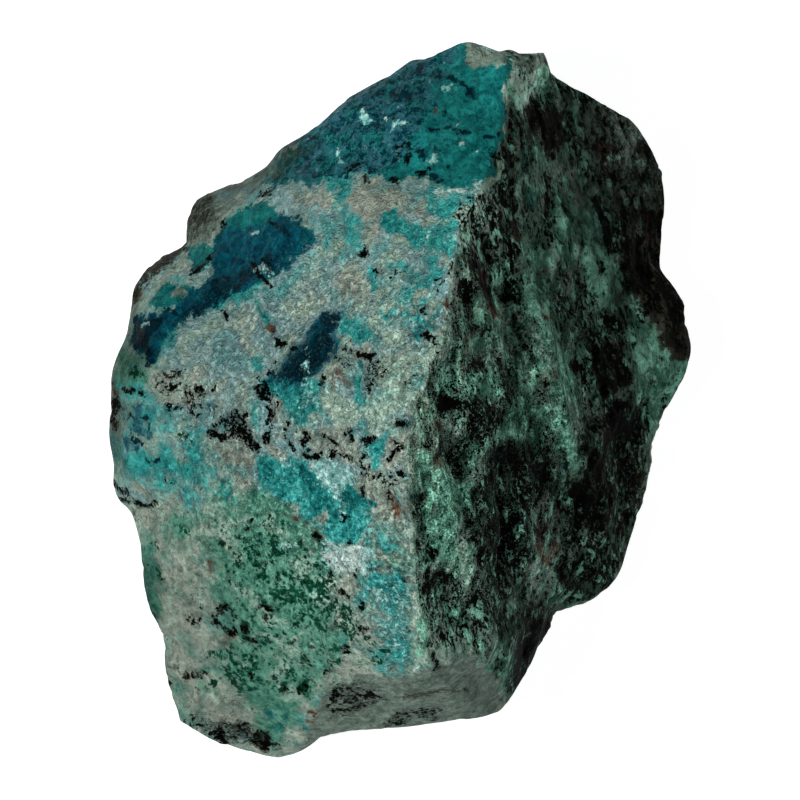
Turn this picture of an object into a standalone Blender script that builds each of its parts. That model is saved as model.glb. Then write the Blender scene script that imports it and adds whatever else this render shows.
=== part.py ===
"""A rough hand specimen of chrysocolla: one natural stone, lying on its broken base.

Units are metres and +Z is up. X runs across the specimen and Y along it, and the origin is under the
middle of its box. The stone is shaped like a lopsided roof. A long ridge runs down it, with a broad,
fairly smooth mineral face on the left and a steep, ribbed and broken face on the right. A short facet
closes the near end, a small chip the far end, and rough flanks lead in under the rim to the flat base.

The relief is made the way a surveyor maps a hill: the rim, the edges where the slope changes and a few
spot heights, in millimetres, with a mesh of triangles between them. Chips, ribs and lumps follow from
seeded noise.
"""

import math
import random

import bmesh
import bpy
from mathutils import Vector, noise
from mathutils.bvhtree import BVHTree
from mathutils.geometry import delaunay_2d_cdt
from mathutils.kdtree import KDTree

# Driving dimensions: the stone's box.
LENGTH = 0.0718
WIDTH = 0.0585
HEIGHT = 0.0420

MM = 0.001
STEP = 1.28  # mm, the distance between neighbouring points of the mesh
BASE_STEP = 3.6  # mm, the same on the flat base
MERGE = 0.01  # mm, points closer than this are one
SHARP = math.radians(24)  # a fold that is sharper than this is an edge of the stone, and is kept
WEAR = 2.8  # mm, how far in from the rim the top is worn down
WEAR_DEPTH = 1.6  # mm, how far it is worn down at the rim, give or take the chips
RIM_SHARE = 0.12  # the share of the relief that moves the rim sideways
RIB_STRETCH = 0.28  # the ribs' width over their length
LOWEST = 0.25  # mm, no point of the flanks comes closer to the base's plane
SEED = 7

# The survey, in mm: X, Y and height over the base.
# The rim is the stone's widest line, clockwise from its far tip.
RIM = [
    (6.5, 35.8, 25.0), (7.9, 35.4, 25.4), (9.8, 34.6, 26.4), (10.9, 34.9, 25.0), (12.2, 34.4, 24.0),
    (14.3, 34.6, 21.0), (14.8, 33.4, 20.4), (15.0, 32.3, 19.6), (16.8, 31.4, 16.8), (18.6, 30.5, 14.6),
    (20.9, 29.3, 12.2), (23.4, 27.9, 10.2), (24.4, 26.5, 9.4), (25.5, 24.6, 8.6), (26.3, 22.1, 8.0),
    (26.6, 19.4, 7.6), (26.2, 15.5, 7.2), (26.0, 13.2, 7.0), (27.4, 11.6, 7.6), (28.4, 9.9, 8.2),
    (28.7, 7.7, 8.4), (29.2, 5.2, 8.2), (28.5, 2.6, 7.6), (27.3, 0.2, 6.8), (26.0, -2.0, 6.0),
    (25.2, -5.2, 5.4), (24.8, -9.0, 5.0), (24.1, -10.8, 5.0), (23.2, -13.7, 5.2), (22.2, -17.2, 5.8),
    (21.3, -18.4, 6.2), (19.3, -20.0, 6.4), (17.6, -20.6, 6.6), (15.5, -21.3, 7.4), (15.1, -23.1, 8.4),
    (13.9, -24.7, 9.4), (13.3, -26.3, 10.2), (12.4, -27.7, 11.4), (11.1, -29.8, 13.4), (10.0, -31.0, 15.0),
    (8.1, -31.6, 16.0), (5.0, -32.0, 16.8), (0.0, -32.5, 17.0), (-5.0, -33.0, 16.2), (-8.1, -33.6, 14.8),
    (-9.2, -34.0, 14.0), (-10.3, -35.0, 12.6), (-11.3, -35.6, 11.4), (-12.6, -35.8, 10.6),
    (-14.0, -35.4, 10.6), (-16.7, -34.5, 11.2), (-18.4, -34.1, 11.6), (-20.2, -33.1, 12.0),
    (-22.0, -32.0, 12.2), (-22.2, -31.1, 12.4), (-23.0, -28.8, 13.0), (-23.5, -26.8, 13.4),
    (-23.5, -24.5, 14.0), (-24.1, -22.3, 14.6), (-25.1, -20.7, 15.0), (-25.7, -17.8, 15.6),
    (-25.8, -14.3, 15.8), (-26.6, -11.4, 15.6), (-27.1, -10.7, 15.0), (-28.1, -10.0, 14.4),
    (-28.7, -8.8, 14.2), (-28.5, -6.4, 15.4), (-29.0, -3.8, 16.2), (-28.9, 0.2, 16.8), (-28.7, 2.5, 17.0),
    (-27.9, 5.1, 17.0), (-26.9, 7.0, 16.8), (-26.7, 9.5, 16.0), (-26.6, 11.2, 15.0), (-25.4, 13.1, 13.6),
    (-24.2, 14.3, 12.6), (-22.1, 15.4, 11.8), (-21.4, 15.7, 11.6), (-21.3, 17.4, 10.8), (-21.2, 18.8, 10.4),
    (-20.4, 20.0, 10.4), (-19.2, 20.7, 10.8), (-16.7, 21.6, 12.4), (-15.0, 22.4, 13.6),
    (-13.3, 23.4, 15.0), (-12.0, 25.1, 16.4), (-9.1, 26.7, 18.4), (-7.2, 28.3, 19.4), (-5.6, 29.9, 20.2),
    (-2.3, 31.7, 21.6), (0.0, 32.8, 22.6), (3.3, 34.3, 24.0), (5.0, 35.0, 24.6),
]

# The roof's ridge, from the chip at the far end to the facet at the near end.
RIDGE = [
    (9.8, 34.6, 26.4), (10.5, 33.5, 28.6), (10.3, 30.5, 30.4), (10.0, 28.0, 31.6), (9.3, 24.0, 33.6),
    (8.0, 21.0, 35.3), (6.8, 19.5, 36.2), (5.8, 17.5, 37.4), (5.2, 13.5, 39.4), (4.4, 9.5, 40.8),
    (3.8, 6.5, 41.5), (2.2, 2.5, 42.0), (1.0, -1.5, 42.0), (0.5, -4.0, 41.7), (0.5, -8.0, 41.0),
    (1.2, -13.0, 39.8), (1.7, -17.5, 38.2), (2.4, -23.0, 35.6), (3.0, -26.4, 33.4),
]
# A narrow bevel beside the ridge, on its right.
RIDGE_BEVEL = [
    (4.9, 8.0, 40.4), (4.4, 5.6, 40.9), (3.2, 2.2, 41.3), (2.0, -2.0, 41.2), (1.5, -6.0, 40.7),
    (1.4, -9.0, 40.2),
]
# The far end's chip: a low facet from the tip to the ridge, and a block beside it.
TIP_CHIP = [(5.2, 34.6, 25.2), (7.4, 33.1, 27.8), (10.5, 33.5, 28.6)]
TIP_BLOCK = [(10.5, 33.5, 28.6), (12.6, 33.2, 26.6), (14.2, 32.6, 22.0), (14.6, 30.2, 21.0)]
# Where the cap of the left face turns down towards the far end.
CAP_EDGE = [
    (8.0, 21.0, 35.3), (3.0, 20.6, 32.8), (-0.5, 22.0, 30.2), (-5.5, 21.9, 26.9), (-10.0, 21.6, 23.4),
    (-13.6, 20.4, 19.8), (-17.4, 18.8, 16.0),
]
# The left face's outer edge, with bumps and a knob below it.
FACE_EDGE = [
    (-17.4, 18.8, 16.0), (-19.4, 14.7, 17.2), (-21.8, 12.0, 18.2), (-24.4, 9.0, 18.8), (-26.0, 4.8, 19.4),
    (-27.1, 0.2, 19.2), (-27.3, -4.0, 18.6), (-26.9, -7.4, 17.8), (-25.6, -9.8, 17.8), (-23.6, -10.2, 19.4),
]
# The foot of the small ledge under the left end of that edge.
LEDGE_FOOT = [(-27.9, -9.6, 14.8), (-26.6, -10.6, 15.8), (-25.2, -11.0, 16.6), (-23.4, -11.2, 18.0)]
# A soft fold across the left face, below which it tilts to the near end.
FOLD = [
    (-23.6, -10.2, 19.4), (-20.0, -8.8, 23.6), (-16.0, -7.0, 27.4), (-11.5, -5.4, 31.4), (-7.0, -5.2, 35.0),
    (-3.0, -7.4, 38.0), (0.5, -8.0, 41.0),
]
# The near end's facet: its upper edge, and the rounded limb that closes it on the left.
END_EDGE = [
    (-7.5, -29.0, 23.0), (-5.5, -28.0, 25.2), (-3.0, -27.3, 27.6), (0.0, -27.0, 29.8), (3.0, -26.4, 33.4),
    (5.0, -25.6, 31.4), (7.5, -25.0, 28.4), (9.4, -27.6, 22.0), (10.0, -31.0, 15.0),
]
END_LIMB = [(-7.5, -29.0, 23.0), (-9.2, -30.6, 20.0), (-10.6, -32.2, 17.0), (-12.0, -34.2, 13.6)]
# The right face: the foot of its steep upper part, and three ribs down it.
STEEP_FOOT = [
    (14.6, 30.2, 21.0), (15.8, 27.0, 19.0), (17.4, 23.6, 17.4), (18.9, 20.4, 16.0), (20.2, 17.2, 14.6),
    (21.6, 14.0, 13.0), (22.2, 11.0, 12.4), (23.2, 8.4, 12.0), (24.2, 5.8, 11.2), (24.6, 1.6, 9.8),
    (24.0, -1.6, 8.4),
]
RIBS = [
    [(8.8, 21.4, 33.8), (10.6, 18.4, 30.8), (12.2, 14.6, 28.8), (13.4, 10.8, 27.2), (14.6, 6.2, 26.4),
     (15.8, 0.6, 24.4), (16.8, -4.0, 22.0), (17.4, -8.0, 19.0)],
    [(12.4, 28.4, 26.2), (14.0, 24.0, 24.2), (15.4, 20.0, 22.4), (16.8, 15.4, 20.4), (17.8, 11.0, 18.8),
     (19.4, 4.6, 16.8), (21.0, -3.0, 14.2), (21.8, -9.6, 11.2)],
    [(5.4, 3.0, 37.4), (6.6, -2.0, 35.4), (7.0, -7.6, 33.4), (8.4, -13.4, 30.0), (9.6, -18.6, 26.4),
     (11.2, -23.4, 20.6)],
]
# The furrows beside the ribs.
FURROWS = [
    [(9.6, 13.4, 31.2), (11.0, 8.0, 29.2), (11.8, 3.0, 27.8), (13.0, -3.4, 24.8), (14.2, -9.8, 21.2)],
    [(14.2, 17.2, 23.2), (15.8, 11.6, 20.8), (17.2, 5.0, 18.4), (19.0, -1.6, 16.0)],
    [(11.8, -16.0, 22.6), (13.6, -19.4, 17.0), (15.0, -21.2, 10.8)],
]
# Spot heights, most of them on the left face.
SPOTS = [
    (-10.0, 10.0, 29.4), (-20.0, 5.0, 23.2), (-12.0, 0.5, 31.2), (-20.0, -4.0, 24.4), (-4.0, 4.0, 37.2),
    (-5.0, 14.0, 32.0), (-12.0, 16.0, 25.2), (1.0, 16.0, 35.0), (-15.0, 10.5, 25.0), (-8.0, 6.0, 33.2),
    (-10.0, -12.0, 30.8), (-3.5, -15.0, 36.0), (-18.0, -14.0, 23.4), (-24.0, -15.0, 17.6),
    (-10.0, -20.0, 27.2), (-18.0, -22.0, 20.0), (-3.0, -22.0, 32.6), (-10.0, -26.5, 23.2),
    (-16.5, -28.0, 18.0), (-20.0, -30.0, 14.8), (-14.0, -33.0, 13.6), (-22.0, -19.5, 17.4),
    (1.0, 28.0, 27.6), (-4.0, 27.0, 24.4), (-9.0, 24.0, 21.2), (5.5, 31.0, 28.6), (6.0, 25.0, 32.4),
    (-23.6, 13.0, 15.2), (-21.4, 16.6, 13.0), (-19.4, 19.0, 12.8), (-16.0, 20.4, 15.0), (-25.4, 10.4, 16.6),
    (22.4, 23.0, 12.8), (23.6, 17.0, 11.0), (20.4, 26.6, 13.8), (26.0, 8.6, 11.6), (26.6, 4.0, 11.2),
    (22.8, -6.0, 9.0), (21.0, -13.6, 9.4), (18.6, -17.0, 11.0), (16.0, -13.0, 17.4), (19.0, -10.0, 14.4),
    (6.0, -30.0, 21.8), (0.0, -30.2, 23.0), (-4.5, -30.6, 21.0), (-1.8, -31.0, 19.6),
]

# The flanks under the rim. Each row is the compass direction from the middle of the stone, in degrees
# from +X, and how the flank leads in below the rim there: at its waist and its ankle, the mm inwards
# and the share of the rim's height that is left, and at its foot the mm inwards.
FLANK = [
    (0, 0.9, 0.55, 2.6, 0.22, 4.2), (24, 1.6, 0.60, 3.4, 0.30, 6.4), (46, 2.2, 0.62, 4.4, 0.34, 7.0),
    (62, 1.6, 0.58, 5.4, 0.30, 9.0), (78, 3.2, 0.66, 5.6, 0.30, 11.6), (94, 1.2, 0.60, 5.8, 0.34, 9.4),
    (112, 2.6, 0.54, 4.4, 0.22, 9.8), (128, 1.0, 0.66, 4.6, 0.36, 7.4), (141, 2.4, 0.56, 4.2, 0.26, 8.6),
    (156, 1.4, 0.52, 5.0, 0.26, 8.0), (170, 0.8, 0.62, 3.2, 0.30, 9.6), (184, 2.6, 0.50, 4.4, 0.18, 8.4),
    (199, 0.9, 0.58, 4.8, 0.32, 9.0), (214, 2.0, 0.64, 3.6, 0.24, 7.6), (228, 0.8, 0.50, 4.4, 0.30, 9.8),
    (243, 1.8, 0.58, 4.0, 0.26, 7.6), (257, 0.8, 0.62, 4.6, 0.34, 9.8), (273, 2.2, 0.56, 4.2, 0.20, 8.8),
    (287, 1.2, 0.66, 5.0, 0.36, 9.2), (303, 1.8, 0.56, 3.0, 0.26, 5.8), (322, 0.7, 0.52, 2.2, 0.24, 4.8),
    (341, 1.3, 0.60, 2.2, 0.28, 3.8),
]
# The line in plan that the flanks lead in towards.
KEEL = (Vector((0.0, -16.0)), Vector((1.0, 17.0)))


def clear_scene():
    """Remove every object, so that the file can run in any scene."""
    for thing in list(bpy.data.objects):
        bpy.data.objects.remove(thing, do_unlink=True)


def spaced(line, step, closed=False):
    """Points along a line of survey points, no more than a step apart."""
    ends = line[1:] + (line[:1] if closed else [])
    points = []
    for start, end in zip(line, ends):
        start, end = Vector(start), Vector(end)
        parts = max(1, round((end - start).length / step))
        points += [start.lerp(end, i / parts) for i in range(parts)]
    return points if closed else points + [Vector(line[-1])]


def triangulate(loop, lines, spots):
    """Triangles over the plan of a closed loop, with every line kept as edges: points and faces."""
    points = list(loop)
    edges = []
    for line in lines:
        edges += [(len(points) + i, len(points) + i + 1) for i in range(len(line) - 1)]
        points += line
    points += spots
    outline = [tuple(range(len(loop)))]
    plan = [Vector((p[0], p[1])) for p in points]
    flat, _, faces, source, _, _ = delaunay_2d_cdt(plan, edges, outline, 1, 0.001)
    if not all(source):
        raise ValueError(f"survey lines cross at {[tuple(p) for p, s in zip(flat, source) if not s]}")
    return [Vector(points[s[0]]) for s in source], faces


class Spread:
    """Keeps a set of points that are at least a given distance apart, in space."""

    def __init__(self, gap, points=()):
        self.gap = gap
        self.cells = {}
        for point in points:
            self.add(point)

    def cell(self, point):
        return tuple(math.floor(c / self.gap) for c in point)

    def add(self, point):
        self.cells.setdefault(self.cell(point), []).append(point)

    def clear_of(self, point):
        x, y, z = self.cell(point)
        near = (
            other
            for i in (x - 1, x, x + 1)
            for j in (y - 1, y, y + 1)
            for k in (z - 1, z, z + 1)
            for other in self.cells.get((i, j, k), ())
        )
        return all((other - point).length >= self.gap for other in near)


def scatter(fixed, candidates, gap):
    """The candidates that lie a gap away from the fixed points and from each other."""
    spread = Spread(gap, fixed)
    kept = []
    for point in candidates:
        if spread.clear_of(point):
            spread.add(point)
            kept.append(point)
    return kept


def top_surface(rim):
    """The surveyed relief inside the rim, remeshed at an even spacing: points and faces."""
    lines = [RIDGE, RIDGE_BEVEL, TIP_CHIP, TIP_BLOCK, CAP_EDGE, FACE_EDGE, LEDGE_FOOT, FOLD]
    lines += [END_EDGE, END_LIMB, STEEP_FOOT] + RIBS + FURROWS
    coarse_points, coarse_faces = triangulate(RIM, lines, SPOTS)
    relief = BVHTree.FromPolygons(coarse_points, coarse_faces)

    edges = [spaced(line, STEP) for line in lines]
    dice = random.Random(SEED)
    grid = STEP / 3
    candidates = []
    for i in range(round(WIDTH / MM / grid)):
        for j in range(round(LENGTH / MM / grid)):
            x = (i + dice.random()) * grid - WIDTH / MM / 2
            y = (j + dice.random()) * grid - LENGTH / MM / 2
            hit = relief.ray_cast(Vector((x, y, 100)), Vector((0, 0, -1)))[0]
            if hit:
                candidates.append(hit)
    dice.shuffle(candidates)
    fixed = rim + [point for edge in edges for point in edge]
    return triangulate(rim, edges, scatter(fixed, candidates, STEP))


def flank_row(angle):
    """The flank's five measures in a compass direction, between the rows of FLANK."""
    rows = FLANK + [(360 + FLANK[0][0],) + FLANK[0][1:]]
    for low, high in zip(rows, rows[1:]):
        if low[0] <= angle < high[0]:
            share = (angle - low[0]) / (high[0] - low[0])
            return [a + (b - a) * share for a, b in zip(low[1:], high[1:])]
    raise ValueError(f"no flank row for {angle} degrees")


def flank_profile(point):
    """The flank's line under a point of the rim: rim, waist, ankle and foot."""
    plan = Vector((point.x, point.y))
    low, high = KEEL
    share = (plan - low).dot(high - low) / (high - low).length_squared
    inwards = (low.lerp(high, min(1, max(0, share))) - plan).normalized()
    angle = math.degrees(math.atan2(point.y, point.x)) % 360
    waist, waist_share, ankle, ankle_share, foot = flank_row(angle)
    return [
        point,
        Vector((*(plan + inwards * waist), point.z * waist_share)),
        Vector((*(plan + inwards * ankle), point.z * ankle_share)),
        Vector((*(plan + inwards * foot), 0)),
    ]


def along(profile, distance):
    """The point at a distance along a line of points."""
    for start, end in zip(profile, profile[1:]):
        length = (end - start).length
        if distance <= length:
            return start.lerp(end, distance / length)
        distance -= length
    return profile[-1].copy()


def length_of(profile):
    return sum((b - a).length for a, b in zip(profile, profile[1:]))


def flank_surface(rim):
    """The flanks, meshed as a band unrolled from the rim: points, faces and the foot's points."""
    stations = rim + rim[:1]
    walked = [0.0]
    for start, end in zip(stations, stations[1:]):
        walked.append(walked[-1] + (end - start).length)
    around = walked[-1]

    def profile_at(s):
        low = max(i for i, w in enumerate(walked[:-1]) if w <= s)
        share = (s - walked[low]) / (walked[low + 1] - walked[low])
        return flank_profile(stations[low].lerp(stations[low + 1], share))

    profiles = [flank_profile(point) for point in stations]
    foot = [0]
    for i in range(1, len(rim)):
        if (profiles[i][-1] - profiles[foot[-1]][-1]).length > STEP * 0.85:
            foot.append(i)
    if (profiles[foot[-1]][-1] - profiles[0][-1]).length < STEP * 0.6:
        foot.pop()
    foot.append(len(rim))
    seam_length = length_of(profiles[0])
    rows = round(seam_length / STEP)
    seam = [seam_length * i / rows for i in range(1, rows)]

    # The band's border, in unrolled coordinates: along the rim, down the seam, back along the foot.
    border = [(walked[i], 0.0) for i in range(len(stations))]
    border += [(around, v) for v in seam]
    border += [(walked[i], length_of(profiles[i])) for i in reversed(foot)]
    border += [(0.0, v) for v in reversed(seam)]
    space = [point.copy() for point in stations]
    space += [along(profiles[0], v) for v in seam]
    space += [profiles[i][-1] for i in reversed(foot)]
    space += [along(profiles[0], v) for v in reversed(seam)]

    dice = random.Random(SEED + 1)
    candidates = []
    unrolled = {}
    for _ in range(round(around * 120)):
        s = dice.uniform(0, around)
        profile = profile_at(s)
        length = length_of(profile)
        v = dice.uniform(0, length - STEP * 0.4)
        point = along(profile, v).freeze()
        unrolled[point] = Vector((s, v, 0))
        candidates.append(point)
    inner = scatter(space, candidates, STEP)
    flat = [Vector((*p, 0)) for p in border]
    where = {tuple(round(c, 3) for c in p): q for p, q in zip(flat, space)}
    where.update({tuple(round(c, 3) for c in unrolled[p]): p for p in inner})
    points, faces = triangulate(flat, [], [unrolled[p] for p in inner])
    placed = [Vector(where[tuple(round(c, 3) for c in p)]) for p in points]
    return placed, faces, [profiles[i][-1] for i in foot[:-1]]


def base_surface(foot):
    """The flat base inside the flanks' foot: points and faces."""
    spots = []
    for i in range(-8, 9):
        for j in range(-9, 10):
            spots.append(Vector(((i + 0.5 * (j % 2)) * BASE_STEP, j * BASE_STEP * 0.87, 0)))
    outline = [Vector((p.x, p.y)) for p in foot]
    kept = [p for p in spots if inside(p, outline) and min((p - q).length for q in foot) > STEP]
    return triangulate(foot, [], kept)


def inside(point, outline):
    """Whether a point lies inside a closed plan outline."""
    crossings = 0
    for a, b in zip(outline, outline[1:] + outline[:1]):
        if (a.y > point.y) != (b.y > point.y):
            crossings += point.x < a.x + (b.x - a.x) * (point.y - a.y) / (b.y - a.y)
    return crossings % 2 == 1


def ramp(value, low, high):
    """0 below low, 1 above high, and smooth between."""
    share = min(1.0, max(0.0, (value - low) / (high - low)))
    return share * share * (3 - 2 * share)


def scar(point, size):
    """Shallow bowls with sharp rims between them, as where flakes were struck off: about -1 to 1."""
    nearest = noise.voronoi(point / size)[0][0]
    return 2.6 * nearest * nearest - 0.7


def facet(point, size):
    """Flat patches tilted at random, with small steps between them: about -0.6 to 0.6."""
    place = point / size + Vector((size, 0, 0))
    middle = noise.voronoi(place)[1][0]
    tilt = noise.cell_vector(middle * 37) - Vector((0.5, 0.5, 0.5))
    return 1.4 * tilt.dot(place - middle)


def lumps(point, size):
    """Soft lumps and hollows: about -1 to 1."""
    return noise.fractal(point / size, 1.0, 2.0, 2)


def rib(point, size):
    """Ribs that run down the right face towards the near end, a little to the right: about -1 to 1."""
    down = Vector((0.34, -0.88, -0.33)).normalized()
    run = point.dot(down)
    return lumps(point - down * run * (1 - RIB_STRETCH), size)


# The relief of each kind of surface, in layers: the shape, its height in mm and its size in mm.
COATED = [(lumps, 0.38, 9.0), (scar, 0.16, 6.5), (lumps, 0.10, 3.2)]
RIBBED = [(rib, 1.25, 4.2), (scar, 0.34, 5.0), (facet, 0.25, 4.5)]
BROKEN = [(facet, 0.85, 9.0), (scar, 0.50, 7.0), (lumps, 0.45, 6.0), (facet, 0.40, 4.2)]


def layered(point, layers):
    """The sum of a surface's layers of relief at a point, in mm."""
    return sum(height * shape(point, size) for shape, height, size in layers)


def ridge_x(y):
    """The ridge's X at a distance along the stone."""
    line = sorted((p[1], p[0]) for p in RIDGE)
    if y <= line[0][0]:
        return line[0][1]
    for (y0, x0), (y1, x1) in zip(line, line[1:]):
        if y <= y1:
            return x0 + (x1 - x0) * (y - y0) / (y1 - y0)
    return line[-1][1]


def relief_at(point, flank):
    """How far the broken surface stands out at a point, in mm; flank is 1 under the rim."""
    right = ramp(point.x - ridge_x(point.y), 0.2, 3.0)
    outer = 0.35 * right * ramp(point.x + 0.6 * abs(point.y), 20.0, 26.0)
    coated, ribbed, broken = (layered(point, layers) for layers in (COATED, RIBBED, BROKEN))
    top = coated * (1 - right) + ribbed * (right - outer) + broken * outer
    return top * (1 - flank) + broken * flank


def even_out(mesh):
    """Turn the edges inside the slopes so that the triangles are well shaped in space."""
    mesh.normal_update()
    flat = [edge for edge in mesh.edges if edge.is_manifold and edge.calc_face_angle() < SHARP]
    bmesh.ops.beautify_fill(mesh, faces=mesh.faces, edges=flat, method="ANGLE")
    mesh.normal_update()


def worn(points, rim):
    """The points of the top worn down towards the rim on the left, as far as it is chipped there."""
    outline = KDTree(len(rim))
    for i, point in enumerate(rim):
        outline.insert((point.x, point.y, 0), i)
    outline.balance()
    lowered = []
    for point in points:
        gap = outline.find((point.x, point.y, 0))[2]
        chipped = WEAR_DEPTH + 1.1 * noise.noise(Vector((point.x / 5, point.y / 5, 4.0)))
        left = ramp(ridge_x(point.y) - point.x, 1.0, 6.0) * ramp(point.y, -33.0, -29.0)
        drop = left * chipped * max(0.0, 1 - gap / WEAR) ** 2
        lowered.append(Vector((point.x, point.y, point.z - drop)))
    return lowered


def roughen(mesh, rim):
    """Move the surface out and in along its normals, hardly sideways at the rim and not on the base."""
    edge = {vert.index for vert in mesh.verts if any((vert.co - p).length < MERGE for p in rim)}
    moves = {}
    for vert in mesh.verts:
        if vert.co.z < MERGE:
            continue
        flank = ramp(-vert.normal.z, -0.25, 0.05)
        move = vert.normal * relief_at(vert.co, flank) * ramp(vert.co.z, -1.0, 2.5)
        if vert.index in edge:
            move = Vector((move.x * RIM_SHARE, move.y * RIM_SHARE, move.z))
        moves[vert] = move
    for vert, move in moves.items():
        vert.co += move
        vert.co.z = max(vert.co.z, LOWEST)


def build_mesh():
    """The whole stone in millimetres, as one closed mesh."""
    sharp_rim = spaced(RIM, STEP, closed=True)
    top_points, top_faces = top_surface(sharp_rim)
    rim = worn(sharp_rim, sharp_rim)
    flank_points, flank_faces, foot = flank_surface(rim)
    mesh = bmesh.new()
    top = (worn(top_points, sharp_rim), top_faces)
    for points, faces in (top, (flank_points, flank_faces), base_surface(foot)):
        verts = [mesh.verts.new(point) for point in points]
        for face in faces:
            mesh.faces.new([verts[i] for i in face])
    bmesh.ops.remove_doubles(mesh, verts=mesh.verts, dist=MERGE)
    bmesh.ops.recalc_face_normals(mesh, faces=mesh.faces)
    even_out(mesh)
    mesh.verts.index_update()
    roughen(mesh, rim)
    return mesh


def fit_to_size(mesh):
    """Scale the stone to its driving dimensions, with the origin under the middle of its box."""
    for axis, size in enumerate((WIDTH, LENGTH, HEIGHT)):
        low = min(vert.co[axis] for vert in mesh.verts)
        high = max(vert.co[axis] for vert in mesh.verts)
        zero = low if axis == 2 else (low + high) / 2
        for vert in mesh.verts:
            vert.co[axis] = (vert.co[axis] - zero) * size / (high - low)


def stone_material():
    """Pale blue-green mineral on rock, matt."""
    material = bpy.data.materials.new("mineral_rock")
    material.use_nodes = True
    shader = material.node_tree.nodes["Principled BSDF"]
    shader.inputs["Base Color"].default_value = (0.22, 0.38, 0.36, 1)
    shader.inputs["Roughness"].default_value = 0.7
    shader.inputs["Metallic"].default_value = 0.0
    return material


def make_stone():
    bm = build_mesh()
    fit_to_size(bm)
    bmesh.ops.triangulate(bm, faces=bm.faces)
    mesh = bpy.data.meshes.new("stone")
    bm.to_mesh(mesh)
    bm.free()
    mesh.materials.append(stone_material())
    stone = bpy.data.objects.new("stone", mesh)
    bpy.context.scene.collection.objects.link(stone)
    return stone


clear_scene()
stone = make_stone()
print(f"stone: {len(stone.data.polygons)} triangles, box {[round(c / MM, 1) for c in stone.dimensions]} mm")
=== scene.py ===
# %% [markdown]
# # A rough piece of chrysocolla
# This lesson dresses one natural stone. Its solid comes ready made, faceted and plain, and the script
# gives it the fine broken surface and the patchwork of copper minerals that make it a specimen.
# The solid is loaded first, because everything that follows is placed on it.

# %% Load the solid
import math

import bmesh
import bpy
import numpy as np
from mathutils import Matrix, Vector, noise


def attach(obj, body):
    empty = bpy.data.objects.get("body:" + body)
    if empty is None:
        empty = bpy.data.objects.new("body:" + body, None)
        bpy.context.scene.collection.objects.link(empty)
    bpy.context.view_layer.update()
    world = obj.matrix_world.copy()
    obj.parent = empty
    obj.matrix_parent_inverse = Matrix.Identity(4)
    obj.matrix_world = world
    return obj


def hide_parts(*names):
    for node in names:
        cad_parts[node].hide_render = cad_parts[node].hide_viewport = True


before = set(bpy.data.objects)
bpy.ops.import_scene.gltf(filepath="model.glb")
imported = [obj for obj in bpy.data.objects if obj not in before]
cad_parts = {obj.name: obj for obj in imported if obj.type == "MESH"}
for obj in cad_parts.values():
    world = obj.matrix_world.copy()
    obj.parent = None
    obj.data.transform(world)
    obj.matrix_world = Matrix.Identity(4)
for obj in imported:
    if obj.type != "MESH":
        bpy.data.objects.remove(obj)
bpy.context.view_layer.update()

# %% [markdown]
# ## Where we stand
# The stone lies on its back and we look straight down on it, as a collector does at a table. A short
# lens close by would show it too, but it would swell the ridge, which is nearer to us than the rim.
# A long lens from well above keeps the outline true, so the sizes on the picture are the sizes on
# the stone: the frame is 80 mm wide at the height of the rim.

# %% Camera
MM = 0.001
FRAME_WIDTH = 80 * MM
SENSOR = 36.0
RIM_HEIGHT = 15 * MM
STAND_OFF = 1.5


def make_camera(x, y):
    """A camera straight over a point, whose frame is FRAME_WIDTH wide at the rim's height."""
    data = bpy.data.cameras.new("camera")
    data.sensor_width = SENSOR
    data.lens = SENSOR * STAND_OFF / FRAME_WIDTH
    camera = bpy.data.objects.new("camera", data)
    camera.location = (x, y, RIM_HEIGHT + STAND_OFF)
    bpy.context.scene.collection.objects.link(camera)
    bpy.context.scene.camera = camera
    print("lens:", round(data.lens), "mm")


make_camera(x=-0.1 * MM, y=0.1 * MM)

# %% [markdown]
# ## Lamps
# A stone is lit by its maker so that its relief reads. A picture of a sky could do it in one go, but
# two lamps are easier to think about. A small key light high on the left rakes over the crust, so
# that its scales show, and leaves the steep right face in half shade, so the ridge reads at once.
# A broad weak fill near the viewer keeps the shade from going black.

# %% Key and fill
LIT_HEIGHT = 20 * MM


def lamp(name, place, size, power, colour):
    """A square area lamp that shines on the middle of the stone."""
    data = bpy.data.lights.new(name, "AREA")
    data.size = size
    data.energy = power
    data.color = colour
    thing = bpy.data.objects.new(name, data)
    thing.location = place
    aim = Vector((0, 0, LIT_HEIGHT)) - thing.location
    thing.rotation_euler = aim.to_track_quat("-Z", "Y").to_euler()
    bpy.context.scene.collection.objects.link(thing)
    print(name, "stands", round(aim.length, 2), "m away")


lamp("key", place=(-0.44, -0.06, 0.90), size=0.14, power=7.6, colour=(1.0, 0.99, 0.97))
lamp("fill", place=(0.55, -0.80, 0.72), size=0.80, power=0.85, colour=(0.93, 0.97, 1.0))

# %% [markdown]
# ## The surround
# Around the stone is a pale room. If it lit the stone as brightly as it looks, the relief would go
# flat, so a Light Path node tells the camera's rays from the others: the camera sees a bright
# surround, and the stone gets only a little light from it.

# %% World
HAZE = (0.97, 0.985, 1.0, 1)


def make_world(seen, shed):
    """A pale surround that shows at one brightness and lights the stone at another."""
    world = bpy.data.worlds.new("surround")
    world.use_nodes = True
    tree = world.node_tree
    path = tree.nodes.new("ShaderNodeLightPath")
    choose = tree.nodes.new("ShaderNodeMix")
    choose.inputs["A"].default_value = shed
    choose.inputs["B"].default_value = seen
    tree.links.new(path.outputs["Is Camera Ray"], choose.inputs["Factor"])
    tree.links.new(choose.outputs["Result"], tree.nodes["Background"].inputs["Strength"])
    tree.nodes["Background"].inputs["Color"].default_value = HAZE
    bpy.context.scene.world = world


make_world(seen=1.0, shed=0.04)
bpy.context.scene.view_settings.view_transform = "Standard"
print("view transform:", bpy.context.scene.view_settings.view_transform)

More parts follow.
